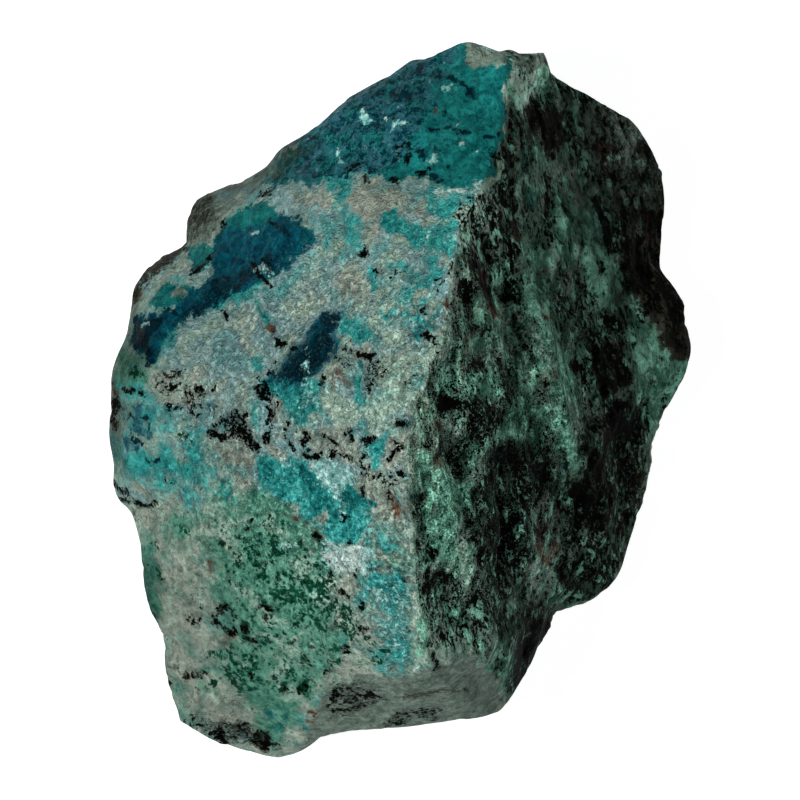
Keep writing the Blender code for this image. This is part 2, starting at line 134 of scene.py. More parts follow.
# %% [markdown]
# ## The floor
# The stone lies on a plain pale sheet that glows as a light table does. White paper would do, but a
# shadow would lie on it and muddy the outline, and the glow drowns the shadow.

# %% Floor
PAPER = (0.40, 0.41, 0.41, 1)


def make_floor(side, glow):
    """A plain pale sheet under the stone, that glows."""
    mesh = bpy.data.meshes.new("floor")
    half = side / 2
    corners = [(-half, -half, 0), (half, -half, 0), (half, half, 0), (-half, half, 0)]
    mesh.from_pydata(corners, [], [(0, 1, 2, 3)])
    paper = bpy.data.materials.new("paper")
    paper.use_nodes = True
    shader = paper.node_tree.nodes["Principled BSDF"]
    shader.inputs["Base Color"].default_value = PAPER
    shader.inputs["Roughness"].default_value = 0.9
    shader.inputs["Emission Color"].default_value = (1, 1, 1, 1)
    shader.inputs["Emission Strength"].default_value = glow
    mesh.materials.append(paper)
    floor = bpy.data.objects.new("floor", mesh)
    bpy.context.scene.collection.objects.link(floor)
    print("floor:", side, "m each way")


make_floor(side=6.0, glow=0.96)

# %% [markdown]
# ## The skin of the stone
# The solid has flat facets more than a millimetre wide, which is right for its shape and wrong for
# its skin. A displacement in the material would look finer, but it would be gone from the exported
# shape. So we copy the solid's mesh, mark the folds that are true edges so that they stay crisp, and
# let a Subdivision Surface make the mesh four times finer each way. It rounds the facets a little,
# and the next steps break them up again at the size of real chips and scales.

# %% A finer mesh
MERGE = 0.01 * MM
CRISP = math.radians(38)
HOLD = 0.75
LEVELS = 2


def fine_mesh(source, levels):
    """A closed, finer copy of a mesh, with its sharp folds kept."""
    work = bmesh.new()
    work.from_mesh(source)
    bmesh.ops.remove_doubles(work, verts=work.verts, dist=MERGE)
    crease = work.edges.layers.float.new("crease_edge")
    for edge in work.edges:
        if edge.is_manifold and edge.calc_face_angle() > CRISP:
            edge[crease] = HOLD
    plain = bpy.data.meshes.new("plain_stone")
    work.to_mesh(plain)
    work.free()
    thing = bpy.data.objects.new("plain_stone", plain)
    bpy.context.scene.collection.objects.link(thing)
    finer = thing.modifiers.new("finer", "SUBSURF")
    finer.levels = levels
    finer.render_levels = levels
    seen = thing.evaluated_get(bpy.context.evaluated_depsgraph_get())
    result = bpy.data.meshes.new_from_object(seen)
    bpy.data.objects.remove(thing)
    return result


skin = fine_mesh(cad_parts["stone"].data, LEVELS)
skin.name = "stone_skin"
print("skin:", len(skin.vertices), "points,", len(skin.polygons), "faces")

# %% [markdown]
# ## Reading the surface
# Every later step asks the same things of a point: where it is and which way it faces. Python could
# ask each point in turn, but foreach_get hands them all over at once as a numpy array, which is many
# times faster. We keep the places in millimetres, because the sizes of chips and patches are.

# %% Places and directions
def read_vectors(items, name):
    """A vector of each item of a mesh, as the rows of an array."""
    values = np.empty(3 * len(items), dtype=np.float32)
    items.foreach_get(name, values)
    return values.reshape(-1, 3).astype(float)


spots = read_vectors(skin.vertices, "co") / MM
facing = read_vectors(skin.vertices, "normal")
print("highest point, in mm:", round(float(spots[:, 2].max()), 1))

# %% [markdown]
# ## The ridge and the rim
# A ridge runs down the stone and parts the crusted left face from the torn right one, and under the
# rim the flanks turn in. The change of face could be read from the normals, but they jump about from
# facet to facet. The ridge is a line that we can draw, so its points are measured on the solid. What
# lies under the rim is told by the normal, because there it turns clearly down.

# %% Right of the ridge, under the rim, on the sole
# The ridge in plan, in mm, from the far end to the near end: Y and X.
RIDGE = [
    (34.6, 9.8), (30.5, 10.3), (28.0, 10.0), (24.0, 9.3), (21.0, 8.0), (19.5, 6.8), (17.5, 5.8),
    (13.5, 5.2), (9.5, 4.4), (6.5, 3.8), (2.5, 2.2), (-1.5, 1.0), (-4.0, 0.5), (-8.0, 0.5),
    (-13.0, 1.0), (-17.5, 1.3), (-24.6, 1.5), (-25.2, 7.4), (-27.2, 8.9), (-29.0, 10.1), (-33.0, 10.6),
]

# How far past the ridge, in mm, the left face gives way to the right one.
RIDGE_BLEND = (-0.1, 0.5)
# How far down a point faces, as a share of straight down, where the top gives way to the flanks.
RIM_BLEND = (-0.12, 0.18)
# The sole is flat up to the first height, in mm, and ends at the second.
SOLE_FLAT = 0.15
SOLE_END = 0.6


def ramp(values, low, high):
    """0 below low, 1 above high, smooth between."""
    share = np.clip((values - low) / (high - low), 0, 1)
    return share * share * (3 - 2 * share)


def past_ridge(x, y):
    """How far a point is to the right of the ridge, in mm."""
    ys, xs = zip(*sorted(RIDGE))
    return x - np.interp(y, ys, xs)


right = ramp(past_ridge(spots[:, 0], spots[:, 1]), *RIDGE_BLEND)
under = ramp(-facing[:, 2], *RIM_BLEND)
sole = ramp(-spots[:, 2], -SOLE_END, -SOLE_FLAT)
print("share of points on the right face:", round(float(np.mean(right * (1 - under))), 2))
print("share of points under the rim:", round(float(np.mean(under)), 2))

# %% [markdown]
# ## Shapes of break
# Rock breaks in a few ways. It bulges where grains part, it chips to flat facets that tilt every way,
# it scars to shallow bowls where it is knocked, and it splinters along its ribs. Each is a noise of
# mathutils, worked out point by point in Python. Blender's Displace modifier has some of these, but
# not the tilted chips, and here each shape can be written in a line or two. The factors bring them
# all to a like height, so that the depths of the next step mean much the same for each.

# %% Lumps, scars, chips and splinters
def each(shape, size, points):
    """A shape of noise of a given size, in mm, at each of the points."""
    return np.array([shape(Vector(p) / size) for p in points])


def lumps(p):
    """Soft noise in three layers, each half the size of the one before."""
    return noise.fractal(p, 1.0, 2.0, 3)


def scar(p):
    """Shallow bowls side by side, with a crest where two meet."""
    nearest = noise.voronoi(p)[0][0]
    return 2.6 * nearest * nearest - 0.7


# A large factor takes the middles of neighbours to far apart cells, so their tilts differ.
SHUFFLE = 37


def chip(p):
    """Flat cells, each tilted its own way."""
    middle = noise.voronoi(p)[1][0]
    tilt = noise.cell_vector(middle * SHUFFLE) - Vector((0.5, 0.5, 0.5))
    return 1.4 * tilt.dot(p - middle)


DOWN_FACE = Vector((0.22, -0.92, -0.32)).normalized()


def splinter(p):
    """Lumps drawn out to twice their length down the right face."""
    return lumps(p - DOWN_FACE * p.dot(DOWN_FACE) * 0.5)


print("a point of chipped rock:", round(chip(Vector((0.3, 0.2, 0.1))), 3))

# %% [markdown]
# ## The broken surface
# A fresh break isn't bumpy all over in the same way. The left face parted along its crust and is
# nearly smooth, with thin scales. The right face tore across the grain and has splintery ribs. The
# flanks were struck and show broad flat chips. One noise for all would be quicker, but it would look
# like a lump of clay. So each face is a sum of layers, and the measures of the last steps say which
# face a point belongs to. The sole stays flat, so that the stone still rests.

# %% Layers of relief
# The depth of each layer in mm, its shape, and its size in mm.
COATED = [(0.18, lumps, 2.4), (0.26, chip, 1.8), (0.12, scar, 1.2)]
RIBBED = [(0.40, splinter, 1.5), (0.28, chip, 1.6), (0.12, scar, 1.1)]
STRUCK = [(0.34, chip, 2.8), (0.14, scar, 2.0), (0.12, chip, 1.2)]


def relief_of(layers):
    """The sum of some layers at every point of the skin, in mm."""
    return sum(depth * each(shape, size, spots) for depth, shape, size in layers)


on_top = relief_of(COATED) * (1 - right) + relief_of(RIBBED) * right
relief = on_top * (1 - under) + relief_of(STRUCK) * under
relief *= 1 - sole
print("relief, in mm: from", round(float(relief.min()), 2), "to", round(float(relief.max()), 2))

# %% [markdown]
# ## Moving the skin
# The relief could stay in the material as a bump, but then it would be flat in profile. We move the
# points along their normals for real. Near the rim that would fray the outline, which was measured
# with care, so there a point moves up and down only.

# %% Move the points
# A flank's points are held sideways from the first of these heights up to the second, in mm.
FLANK_HELD = (5, 11)
# The top's points are let go as they face up, from the first of these shares to the second.
TOP_FREED = (0.15, 0.55)
free = np.where(under > 0.5, 1 - ramp(spots[:, 2], *FLANK_HELD), ramp(facing[:, 2], *TOP_FREED))
sideways = np.column_stack([free, free, np.ones(len(free))])
moved = (spots + facing * relief[:, None] * sideways) * MM
skin.vertices.foreach_set("co", moved.astype(np.float32).ravel())
skin.update()
print("share of points that move freely:", round(float(np.mean(free > 0.5)), 2))

# %% [markdown]
# ## A map of the minerals
# The colours of this stone aren't one material with noise over it. Copper water left each mineral in
# its own place: blue chrysocolla in a cap and a vein, green malachite in specks, buff and grey rock
# between, black oxide in branching flecks. A picture could be laid over the stone, but it would smear
# down the flanks and fix every speck for ever. We draw a map as a geologist does, with outlines and
# strokes traced on squared paper over the stone, ten squares to the mm, counted from the sheet's far
# left corner. Noise then breaks up what is inside them.
#
# Each row holds how much of the mineral there is, where 1 covers all and a half leaves half of it
# bare. Then come the softness of the outlines' edge, or the width of the strokes, in mm, and the
# points, across and down, with a slash between one shape and the next.

# %% Squared paper
SQUARE = 0.1
MIDDLE = 400


def shapes_of(mineral):
    """How many outlines and strokes the map has for a mineral."""
    rows = PATCHES.get(mineral, []) + STROKES.get(mineral, [])
    return sum(len(texts.split(" / ")) for _, _, texts in rows)


PATCHES = {}
STROKES = {}
# The cap's outline, which more than one mineral fills.
CAP = ("258,192 262,165 290,122 318,98 345,76 392,52 432,34 462,26 460,62 440,100 424,140 400,178 "
       "350,185 300,186")

# %% [markdown]
# ## Turquoise and teal
# The blue of this stone is chrysocolla, a soft crust left by copper water. It is purest at the far end,
# in a cap with a straight near edge, and in a chip of bright turquoise near the middle. Thin washes of
# it run over the pale crust between them. A wash could have a paler colour of its own, but as a small
# amount of turquoise it comes out in flecks, as on the stone.

# %% Bright crusts
PATCHES["turq"] = [
    (.72, .7, "262,165 280,132 322,104 345,108 400,112 420,150 400,178 335,182 300,180 270,184"),
    (.62, .8, "176,400 206,425 240,472 240,500 200,492 178,470"),
    (.44, .8, CAP),
    (.36, .8, "300,175 320,130 380,90 440,60 460,90 440,120 420,150 400,180 350,170"),
    (.95, .5, "326,172 350,176 354,196 350,214 334,212 334,195"),
    (.5, .9, "306,214 374,210 372,262 320,268 306,250"),
    (1.15, .3, "378,210 397,208 400,221 408,224 431,224 431,243 412,248 400,240 384,236 375,229 "
     "379,220"),
    (.7, .5, "428,222 445,215 462,200 470,205 462,215 457,240 457,262 448,263 440,255 433,275 426,290 "
     "415,292 400,299 402,290 420,280 422,265 420,250"),
    (.75, .5, "425,186 440,198 472,195 466,212 445,222 430,215 419,196 / 246,402 262,402 268,415 "
     "262,432 250,425 247,412"),
    (.46, .7, "378,262 440,262 440,310 420,340 380,325 372,290"),
    (1, .5, "338,312 356,314 362,326 376,341 356,343 342,334 / 256,456 268,452 282,462 292,464 303,462 "
     "306,478 300,500 285,500 272,492 262,484"),
    (1.1, .4, "266,384 284,372 303,374 318,375 325,389 322,401 313,414 300,422 290,414 282,403 "
     "271,397"),
    (.75, .4, "353,373 362,377 364,395 367,412 358,416 351,400 / 248,351 268,351 266,369 256,376 "
     "247,368"),
    (.8, .4, "393,419 397,428 387,440 384,455 384,466 372,468 369,455 374,442 382,430"),
    (1.05, .5, "300,460 350,475 360,500 372,510 370,522 366,541 350,536 335,541 324,534 322,515 "
     "305,505"),
    (.7, .6, "296,482 308,500 330,520 325,530 300,512 285,495"),
    (.85, .5, "155,455 175,452 190,454 205,465 215,480 207,489 195,481 180,476 165,479 157,470"),
    (.62, .6, "96,436 118,430 126,448 146,444 165,440 173,450 168,466 160,476 150,481 135,486 118,483 "
     "113,470"),
    (.5, .7, "108,376 150,384 165,395 173,405 186,415 192,430 188,446 168,442 150,440 116,440"),
    (.6, .7, "155,440 200,455 215,480 200,500 160,505 140,490 / 268,285 290,270 308,250 320,262 "
     "300,285 280,300 262,300"),
    (.9, .5, "210,300 225,291 260,281 270,285 252,296 240,302 214,313 204,311"),
    (.85, .6, "160,322 176,326 172,345 166,362 156,366 158,345"),
    (.68, .8, "372,556 386,558 400,564 412,578 417,600 413,640 409,668 395,673 370,668 368,654 377,640 "
     "369,620 372,606 360,590 354,579 360,570"),
    (.55, .8, "236,200 262,198 262,207 240,212 228,222 222,214"),
    (.6, .6, "340,512 372,508 400,530 400,552 372,545 360,530 / 158,480 172,482 170,497 156,500"),
    (.55, .5, "167,273 186,272 196,284 180,286 168,282"),
]
STROKES["turq"] = [
    (.75, 1.4, "424,118 446,120 460,125"),
    (.6, 1.4, "320,130 335,125 / 372,160 390,165"),
    (.7, 1.2, "337,152 335,168"),
    (.6, 1.2, "485,88 498,84 / 414,322 416,342"),
    (.75, .7, "386,267 401,264 404,273 / 372,272 374,290"),
    (.85, .8, "380,317 396,312 412,317 430,328"),
    (.8, .6, "404,300 416,290 428,284 440,272"),
    (.75, .6, "396,300 410,306 430,300"),
    (.7, .7, "384,300 380,312 396,318"),
    (.7, .6, "420,330 430,318 438,306"),
    (.75, .8, "340,328 350,322 358,326"),
    (.5, 2.2, "384,250 390,290"),
    (.5, 1.4, "378,295 400,300 425,300"),
    (.7, .8, "255,301 262,312 270,320"),
    (.6, .6, "222,353 228,350"),
    (.6, .7, "150,305 165,298"),
]
PATCHES["teal"] = [
    (.8, .5, "150,300 165,286 185,280 208,286 192,300 175,309 150,312"),
    (.35, .7, "104,372 140,368 152,400 156,440 150,480 112,486 104,430"),
    (1, .5, "258,192 262,165 290,122 318,98 345,76 392,52 432,34 462,26 466,62 480,66 506,64 505,95 "
     "502,120 499,145 492,165 486,180 474,190 455,192 440,196 428,185 412,177 395,182 378,178 366,166 "
     "352,160 345,172 330,182 300,182 280,184"),
    (1, .6, "212,238 225,222 240,210 262,204 285,210 303,226 312,238 304,251 294,262 280,275 262,285 "
     "240,290 225,299 205,311 190,318 172,328 165,345 158,360 146,364 138,350 131,335 134,318 150,312 "
     "175,309 190,296 200,285 211,272"),
    (.9, .3, "189,245 205,241 213,250 209,262 197,270 189,262"),
    (.85, .3, "222,482 230,478 229,488 221,490"),
    (.95, .35, "300,462 312,478 322,485 330,495 336,510 335,519 325,514 315,506 308,498 306,485 "
     "299,475 / 350,478 356,482 358,492 372,498 376,503 362,506 352,508 345,504 342,495 345,487"),
    (.7, .6, "372,578 385,572 396,580 392,596 384,606 376,598"),
    (.75, .5, "353,357 362,359 366,374 356,376"),
    (.85, .4, "258,458 268,455 276,462 278,474 268,480 260,474"),
    (.5, .6, "262,705 285,700 294,715 288,732 272,742 262,728"),
    (.6, .6, "205,404 215,401 223,408 221,420 212,423 206,414"),
    (.4, .6, "128,536 158,538 162,560 162,590 168,605 156,622 134,600 128,575"),
]
for mineral in ("turq", "teal"):
    print(mineral + ":", shapes_of(mineral), "shapes")

# %% [markdown]
# ## The dark blues
# Where the crust is thick or mixed with oxide it goes from slate to navy. A vein of it crosses the
# left shoulder and a smaller blot lies in the middle of the face. The cap is mottled with it. One
# colour could darken by noise, but each of the three has its own outlines, so each has its own rows.

# %% Dark crusts
PATCHES["slate"] = [
    (.52, .8, CAP),
    (.58, .9, "320,122 357,97 400,76 440,60 450,80 436,104 415,118 420,140 412,165 385,150 355,160 "
     "340,150 325,150"),
    (.5, .6, "122,402 148,404 154,432 146,450 128,450 118,430"),
]
STROKES["slate"] = [
    (.7, 1.2, "436,152"),
    (.7, .8, "450,132 458,136"),
    (.6, 1.6, "345,345 340,330"),
]
PATCHES["deep"] = [
    (.66, .5, "268,384 280,354 300,340 316,316 338,314 350,340 342,362 322,376 300,388 280,394"),
    (1, .6, "212,240 222,230 240,224 262,222 284,212 303,226 312,238 304,251 294,262 280,275 262,285 "
     "240,290 225,299 205,311 190,318 172,328 165,345 158,360 146,364 138,350 131,335 134,318 150,312 "
     "175,309 190,296 200,285 211,272"),
    (.42, 1.2, "320,118 357,95 400,73 440,54 445,90 420,110 430,150 400,165 345,150 320,150"),
    (.6, .5, "205,404 215,401 223,408 221,420 212,423 206,414"),
]
PATCHES["navy"] = [
    (.48, .8, CAP),
    (.3, 1, "300,150 330,120 357,97 400,76 440,58 462,75 440,100 420,110 430,150 415,170 395,178 "
     "360,160 330,175 300,178"),
    (.85, .5, "268,251 276,255 271,276 262,276 256,264 242,268 234,280 222,290 210,299 198,306 186,313 "
     "184,320 200,314 216,304 232,294 242,284 252,272"),
    (.8, .4, "209,274 220,270 224,284 216,292 204,296"),
    (.9, .4, "133,317 158,314 159,329 150,336 152,350 156,362 144,362 138,348 132,336"),
    (.42, .8, "272,212 285,208 300,216 304,228 296,238 284,234 274,224"),
    (.34, .8, "262,246 280,246 284,258 280,268 272,276 262,278 252,268"),
    (.62, .5, "202,280 225,272 245,268 245,290 222,300 202,306"),
    (.78, .5, "333,311 339,325 335,335 343,345 335,353 330,362 322,371 312,376 300,379 288,383 275,383 "
     "271,375 284,368 287,358 297,352 300,343 311,338 318,330 321,318"),
    (.34, .5, "120,405 132,402 148,408 152,425 146,444 130,450 121,438"),
    (.45, .6, "428,226 440,222 450,228 448,240 434,242 427,236"),
]
STROKES["navy"] = [
    (.8, .5, "266,221 278,227 289,237"),
    (.7, .6, "308,136 322,138"),
    (.7, .9, "340,118"),
    (.75, .8, "376,126 384,131"),
    (.7, .7, "388,94 396,96"),
    (.85, .8, "402,94 408,99"),
    (.85, .9, "418,67 421,72"),
    (.7, .5, "424,81 440,76 / 128,412 138,418 / 130,438 142,442"),
    (.85, .6, "445,78 453,80"),
    (.75, .6, "452,83 461,86 470,93"),
    (.75, .9, "443,114"),
    (.75, .5, "428,132 440,129 452,129"),
    (.8, .6, "454,133 470,135 / 449,169 / 562,448 566,470"),
    (.85, .5, "482,139 497,137 / 145,455 152,462 158,458 / 163,308 175,312"),
    (.85, 1.3, "420,153 424,157"),
    (.6, 1.2, "436,152"),
    (.8, .8, "430,178 438,182"),
    (.6, .9, "466,95 474,98"),
    (.6, .7, "363,366 368,373 / 470,415 474,425"),
    (.6, .5, "146,415 148,430"),
    (.7, .4, "172,287 178,284"),
    (.55, .7, "214,408 216,416"),
    (.9, .8, "593,197 600,214 606,232 608,242"),
    (.6, .8, "440,400 448,404 / 516,512 518,520"),
]
for mineral in ("slate", "deep", "navy"):
    print(mineral + ":", shapes_of(mineral), "shapes")

# %% [markdown]
# ## The pale crust
# Most of the far half is a pale crust, a mix of chrysocolla and chalcedony: bluish where we call it
# sky, nearly white where it is ice, and white where a little quartz fills a pit. The white layer also
# holds painted glints, single bright points where a grain would catch the light, and the ice layer a
# painted highlight along the edge of the near facet. Noise could choose among them, but a stone is
# known by where its brightest patches lie, so they are traced.

# %% Pale crusts
PATCHES["sky"] = [
    (.9, .8, "165,318 262,300 275,330 262,362 200,362 168,350"),
    (.8, 1.2, "175,285 215,265 300,240 330,215 345,260 330,300 345,320 330,345 300,340 270,380 255,400 "
     "205,395 180,370 165,350"),
    (.65, .8, "300,215 340,215 350,262 340,300 300,300"),
    (.6, .8, "400,290 445,285 440,330 400,345 370,330"),
    (.6, .7, "206,403 212,424 200,432 198,412"),
    (.9, .6, "378,590 400,585 406,610 404,655 385,660 376,630"),
    (.5, .8, "365,610 412,610 410,670 372,665"),
]
PATCHES["ice_and_highlight"] = [
    (.4, .7, "374,572 404,572 412,660 378,664"),
    (.2, .8, CAP),
    (1, .35, "303,459 322,458 341,468 350,475 346,486 341,497 336,500 329,489 317,476"),
    (.85, .3, "336,502 343,500 346,514 338,516"),
    (.8, .3, "466,190 472,181 485,178 484,188 474,194"),
    (.6, .5, "250,262 262,262 270,276 258,278"),
    (.6, .6, "322,540 372,540 378,566 350,572 320,564"),
    (.55, .7, "305,345 318,378 330,395 318,410 300,415"),
    (.55, .8, "382,610 404,610 402,660 386,650"),
]
STROKES["ice_and_highlight"] = [
    # This stroke is a painted highlight along the edge of the near facet.
    (.5, .4, "352,681 400,675 452,664 474,661"),
    (.7, .8, "434,193 462,193"),
    (.55, .7, "336,152 340,160"),
    (.6, .8, "362,112 366,122 / 392,127 404,124 / 284,545 296,542"),
    (.55, .8, "442,90 450,88"),
    (.5, .8, "428,165 436,160"),
    (.7, .9, "206,268 210,274"),
    (.6, .7, "252,234 257,232"),
    (.7, .5, "142,324 148,324"),
    (.6, 1, "372,584 382,592"),
    (.6, .9, "312,590 318,598 / 214,408 208,418"),
]
PATCHES["white_and_glint"] = [
    (1, .35, "328,546 339,540 345,546 350,537 361,539 369,548 363,560 368,569 355,567 345,568 333,565 "
     "325,559 321,552"),
    (.5, .6, "255,268 262,262 270,276 262,280"),
]
# Single points among these strokes are painted glints, where a grain would catch the light.
STROKES["white_and_glint"] = [
    (.75, .3, "433,193 444,194 / 448,194 461,193 / 474,150 474,153"),
    (.8, .5, "472,187 478,184"),
    (.7, .4, "457,144 460,146"),
    (.8, .3, "211,234 215,236 / 340,678"),
    (.6, .5, "252,235 256,232 / 310,462 330,464 / 413,660 416,665"),
    (.5, .3, "141,324 148,323 / 478,660 478,668"),
    (.9, .3, "514,72"),
    (.7, .3, "275,546 / 191,568 / 193,582"),
    (.6, .3, "242,543 / 311,465 316,470 / 314,480 317,484 / 427,242 426,234 432,229"),
    (.6, .4, "383,112 385,120 / 360,113 363,108 / 494,110 / 428,207 434,212 / 362,570 367,572"),
    (.55, .4, "392,126 404,123 / 371,584 378,588"),
    (.5, .5, "455,128 458,124 / 517,92 520,100"),
    (.5, .4, "314,592 318,597 / 283,545 292,542"),
]
for mineral in ("sky", "ice_and_highlight", "white_and_glint"):
    print(mineral + ":", shapes_of(mineral), "shapes")

# %% [markdown]
# ## The greens
# Malachite grows where the water had more carbonate. It tints the near half and the gullies of the
# right face, and its dark crystals are specks among the tint. One green with a wide ramp of tints would
# be quicker. Four let a pale gully lie beside a dark speck with a crisp edge between them.

# %% Greens
PATCHES["green"] = [
    (.75, .7, "280,516 322,516 330,560 284,560"),
    (.55, .9, "150,505 245,500 245,600 210,600 205,560 150,560"),
    (1, .9, "210,482 262,488 305,512 318,545 300,568 262,572 240,550 205,522"),
    (.66, 1.2, "190,505 230,500 260,512 300,522 330,540 335,600 345,640 335,680 310,700 295,735 "
     "262,735 245,690 215,685 208,650 222,620 208,580 196,545"),
    (.85, 1, "222,520 262,522 310,535 330,560 330,600 345,640 322,668 300,640 262,650 240,620 228,570"),
    (1, .8, "240,655 278,655 300,690 298,715 290,735 270,748 258,730 245,700"),
    (.85, .6, "112,338 138,350 142,362 152,372 150,386 138,392 116,386 98,372 / 548,200 560,198 "
     "572,212 578,240 572,262 556,258 548,232"),
    (.8, .6, "125,538 160,538 163,560 163,590 168,605 156,625 130,602 125,575 / 478,658 500,652 "
     "514,662 508,690 498,696 486,674"),
    (.85, .8, "262,535 330,542 338,590 332,620 300,625 270,605 262,570"),
    (.95, .6, "262,165 280,146 304,136 314,146 306,162 290,174 272,180"),
    (.6, .8, "340,600 352,600 352,640 336,668 322,664 325,640 / 585,420 605,440 600,470 580,470"),
    (.5, .5, "214,200 228,198 224,212 214,210"),
    (.8, .5, "524,190 540,188 542,212 530,218 522,208"),
    (.75, .6, "461,316 500,316 502,349 465,349 / 623,155 650,158 652,193 628,193 / 540,592 580,588 "
     "580,610 542,612"),
    (.8, .7, "500,400 552,400 552,446 498,442"),
    (.7, .6, "522,464 559,462 560,490 525,492"),
    (.55, .6, "430,480 470,490 470,560 432,560"),
    (.7, .8, "475,655 515,640 535,655 515,700 500,695 482,672"),
    (.65, .6, "576,266 600,262 600,303 580,303"),
    (.6, .7, "598,105 640,122 635,150 600,140 / 415,560 440,560 445,650 415,655"),
    (.55, .5, "523,138 545,138 546,160 527,162"),
]
STROKES["green"] = [
    (.75, 1.4, "346,692 400,684 450,677 482,674"),
]
PATCHES["palegreen"] = [
    (.7, .7, "288,394 382,398 388,424 300,426"),
    (1, .6, "385,372 400,355 425,350 436,356 421,385 413,410 400,414 380,406 371,395"),
    (.6, .8, "355,305 380,300 410,335 420,350 395,358 360,348"),
    (.6, .7, "270,410 290,415 300,425 345,415 385,410 398,420 372,450 350,425 300,432 / 380,466 "
     "405,470 405,492 380,490 368,480"),
    (1, .35, "506,66 545,60 548,94 536,104 524,102 522,118 512,110 507,90"),
    (.95, .4, "462,215 474,192 486,182 494,196 480,222 464,250 452,266 452,248"),
    (.85, .4, "428,392 436,368 444,345 448,330 440,330 430,350 420,378 411,405 405,440 404,470 412,470 "
     "416,440 424,412"),
    (.68, .6, "412,440 440,445 466,470 474,560 470,620 480,652 418,660 412,560"),
    (.6, .6, "440,600 480,605 500,640 480,655 440,655 / 526,560 560,560 560,595 526,592"),
    (.45, .8, "465,440 500,440 510,600 480,600 468,520"),
    (.5, .8, "520,165 545,170 542,195 520,190 / 575,500 620,500 610,570 580,570"),
    (.5, .6, "430,400 500,400 500,440 420,445"),
]
PATCHES["mint"] = [
    (.95, .5, "517,278 530,272 551,284 553,312 530,314 517,305"),
    (.9, .5, "520,237 532,235 546,246 547,268 530,270 520,262 / 509,353 520,353 528,380 532,420 "
     "520,440 505,440 508,400"),
    (1, .5, "583,262 600,256 618,262 622,285 618,305 600,306 586,296"),
    (.95, .6, "575,210 590,207 604,222 612,250 600,258 582,262 576,240"),
    (.8, .5, "631,335 645,319 653,330 660,345 668,352 684,362 698,372 680,402 658,420 648,436 640,420 "
     "642,400 634,375 630,350 / 547,345 560,338 574,345 575,387 566,400 552,400 547,380"),
    (1, .4, "465,372 497,372 499,385 494,399 470,399 464,388"),
    (.8, .4, "436,370 446,364 460,372 458,390 442,394"),
    (.95, .4, "551,402 562,402 570,430 576,460 576,480 566,470 558,445 549,425"),
    (1.1, .5, "413,453 424,449 440,466 458,478 471,484 468,502 458,520 454,545 446,562 432,558 422,535 "
     "414,500"),
    (.7, .6, "430,575 455,595 470,600 474,625 450,625 436,610"),
    (.7, .5, "604,350 625,350 626,361 606,362 / 526,320 555,320 555,357 535,350"),
    (.65, .7, "593,540 610,535 622,560 612,583 598,575"),
    (.5, .8, "500,405 552,405 552,445 500,442"),
    (.65, .6, "415,600 428,605 432,650 414,655"),
    (.6, .6, "620,115 640,124 640,132 622,128"),
]
STROKES["mint"] = [
    (1, 1, "560,404 568,436 574,470"),
]
PATCHES["malachite"] = [
    (.55, .4, "279,150 300,141 304,158 284,166"),
    (.36, 1.2, "200,515 260,515 330,540 345,600 340,660 320,700 250,700 225,680 222,620"),
    (.55, .7, "262,572 325,568 330,596 265,598"),
    (.5, .8, "225,640 262,640 262,690 232,690"),
    (.68, .5, "333,600 350,600 352,630 342,636 334,622"),
    (.66, .5, "326,636 340,640 338,662 328,660"),
    (.45, .7, "365,630 385,632 385,670 368,668"),
    (.5, 1, "265,560 330,560 345,620 320,640 270,610"),
    (.62, .5, "262,178 285,158 308,140 312,150 296,168 274,186"),
    (.5, .6, "134,352 150,366 148,384 130,388 122,372"),
]
STROKES["malachite"] = [
    (.8, .9, "268,592 280,588 292,586 298,592 286,598"),
    (.85, 1, "304,580 313,583 322,585 318,591"),
    (.7, .5, "325,604 318,618"),
    (.7, .8, "345,627 354,629 / 225,665 230,676 237,686 / 150,540 158,545"),
    (.65, .8, "285,520 280,531 / 272,535 274,545 / 297,540 300,548 / 268,684 278,688 285,680"),
    (.65, .7, "257,569 266,569 262,579"),
    (.7, .7, "236,670 241,676 / 380,646 386,648"),
    (.75, .7, "236,692 243,689"),
    (.65, .6, "289,671 295,680"),
    (.8, .8, "301,687 304,682 308,688"),
    (.6, 1.2, "208,650 222,655 / 228,652 232,660"),
    (.7, .6, "363,632 370,640"),
    (.6, .8, "208,685 214,680 / 180,525 190,535"),
    (.5, 1.6, "262,515 268,528"),
    (.6, .7, "236,563 242,562"),
    (.6, 1, "176,432 190,440"),
    (.6, .6, "146,562 156,566 160,575"),
]
for mineral in ("green", "palegreen", "mint", "malachite"):
    print(mineral + ":", shapes_of(mineral), "shapes")
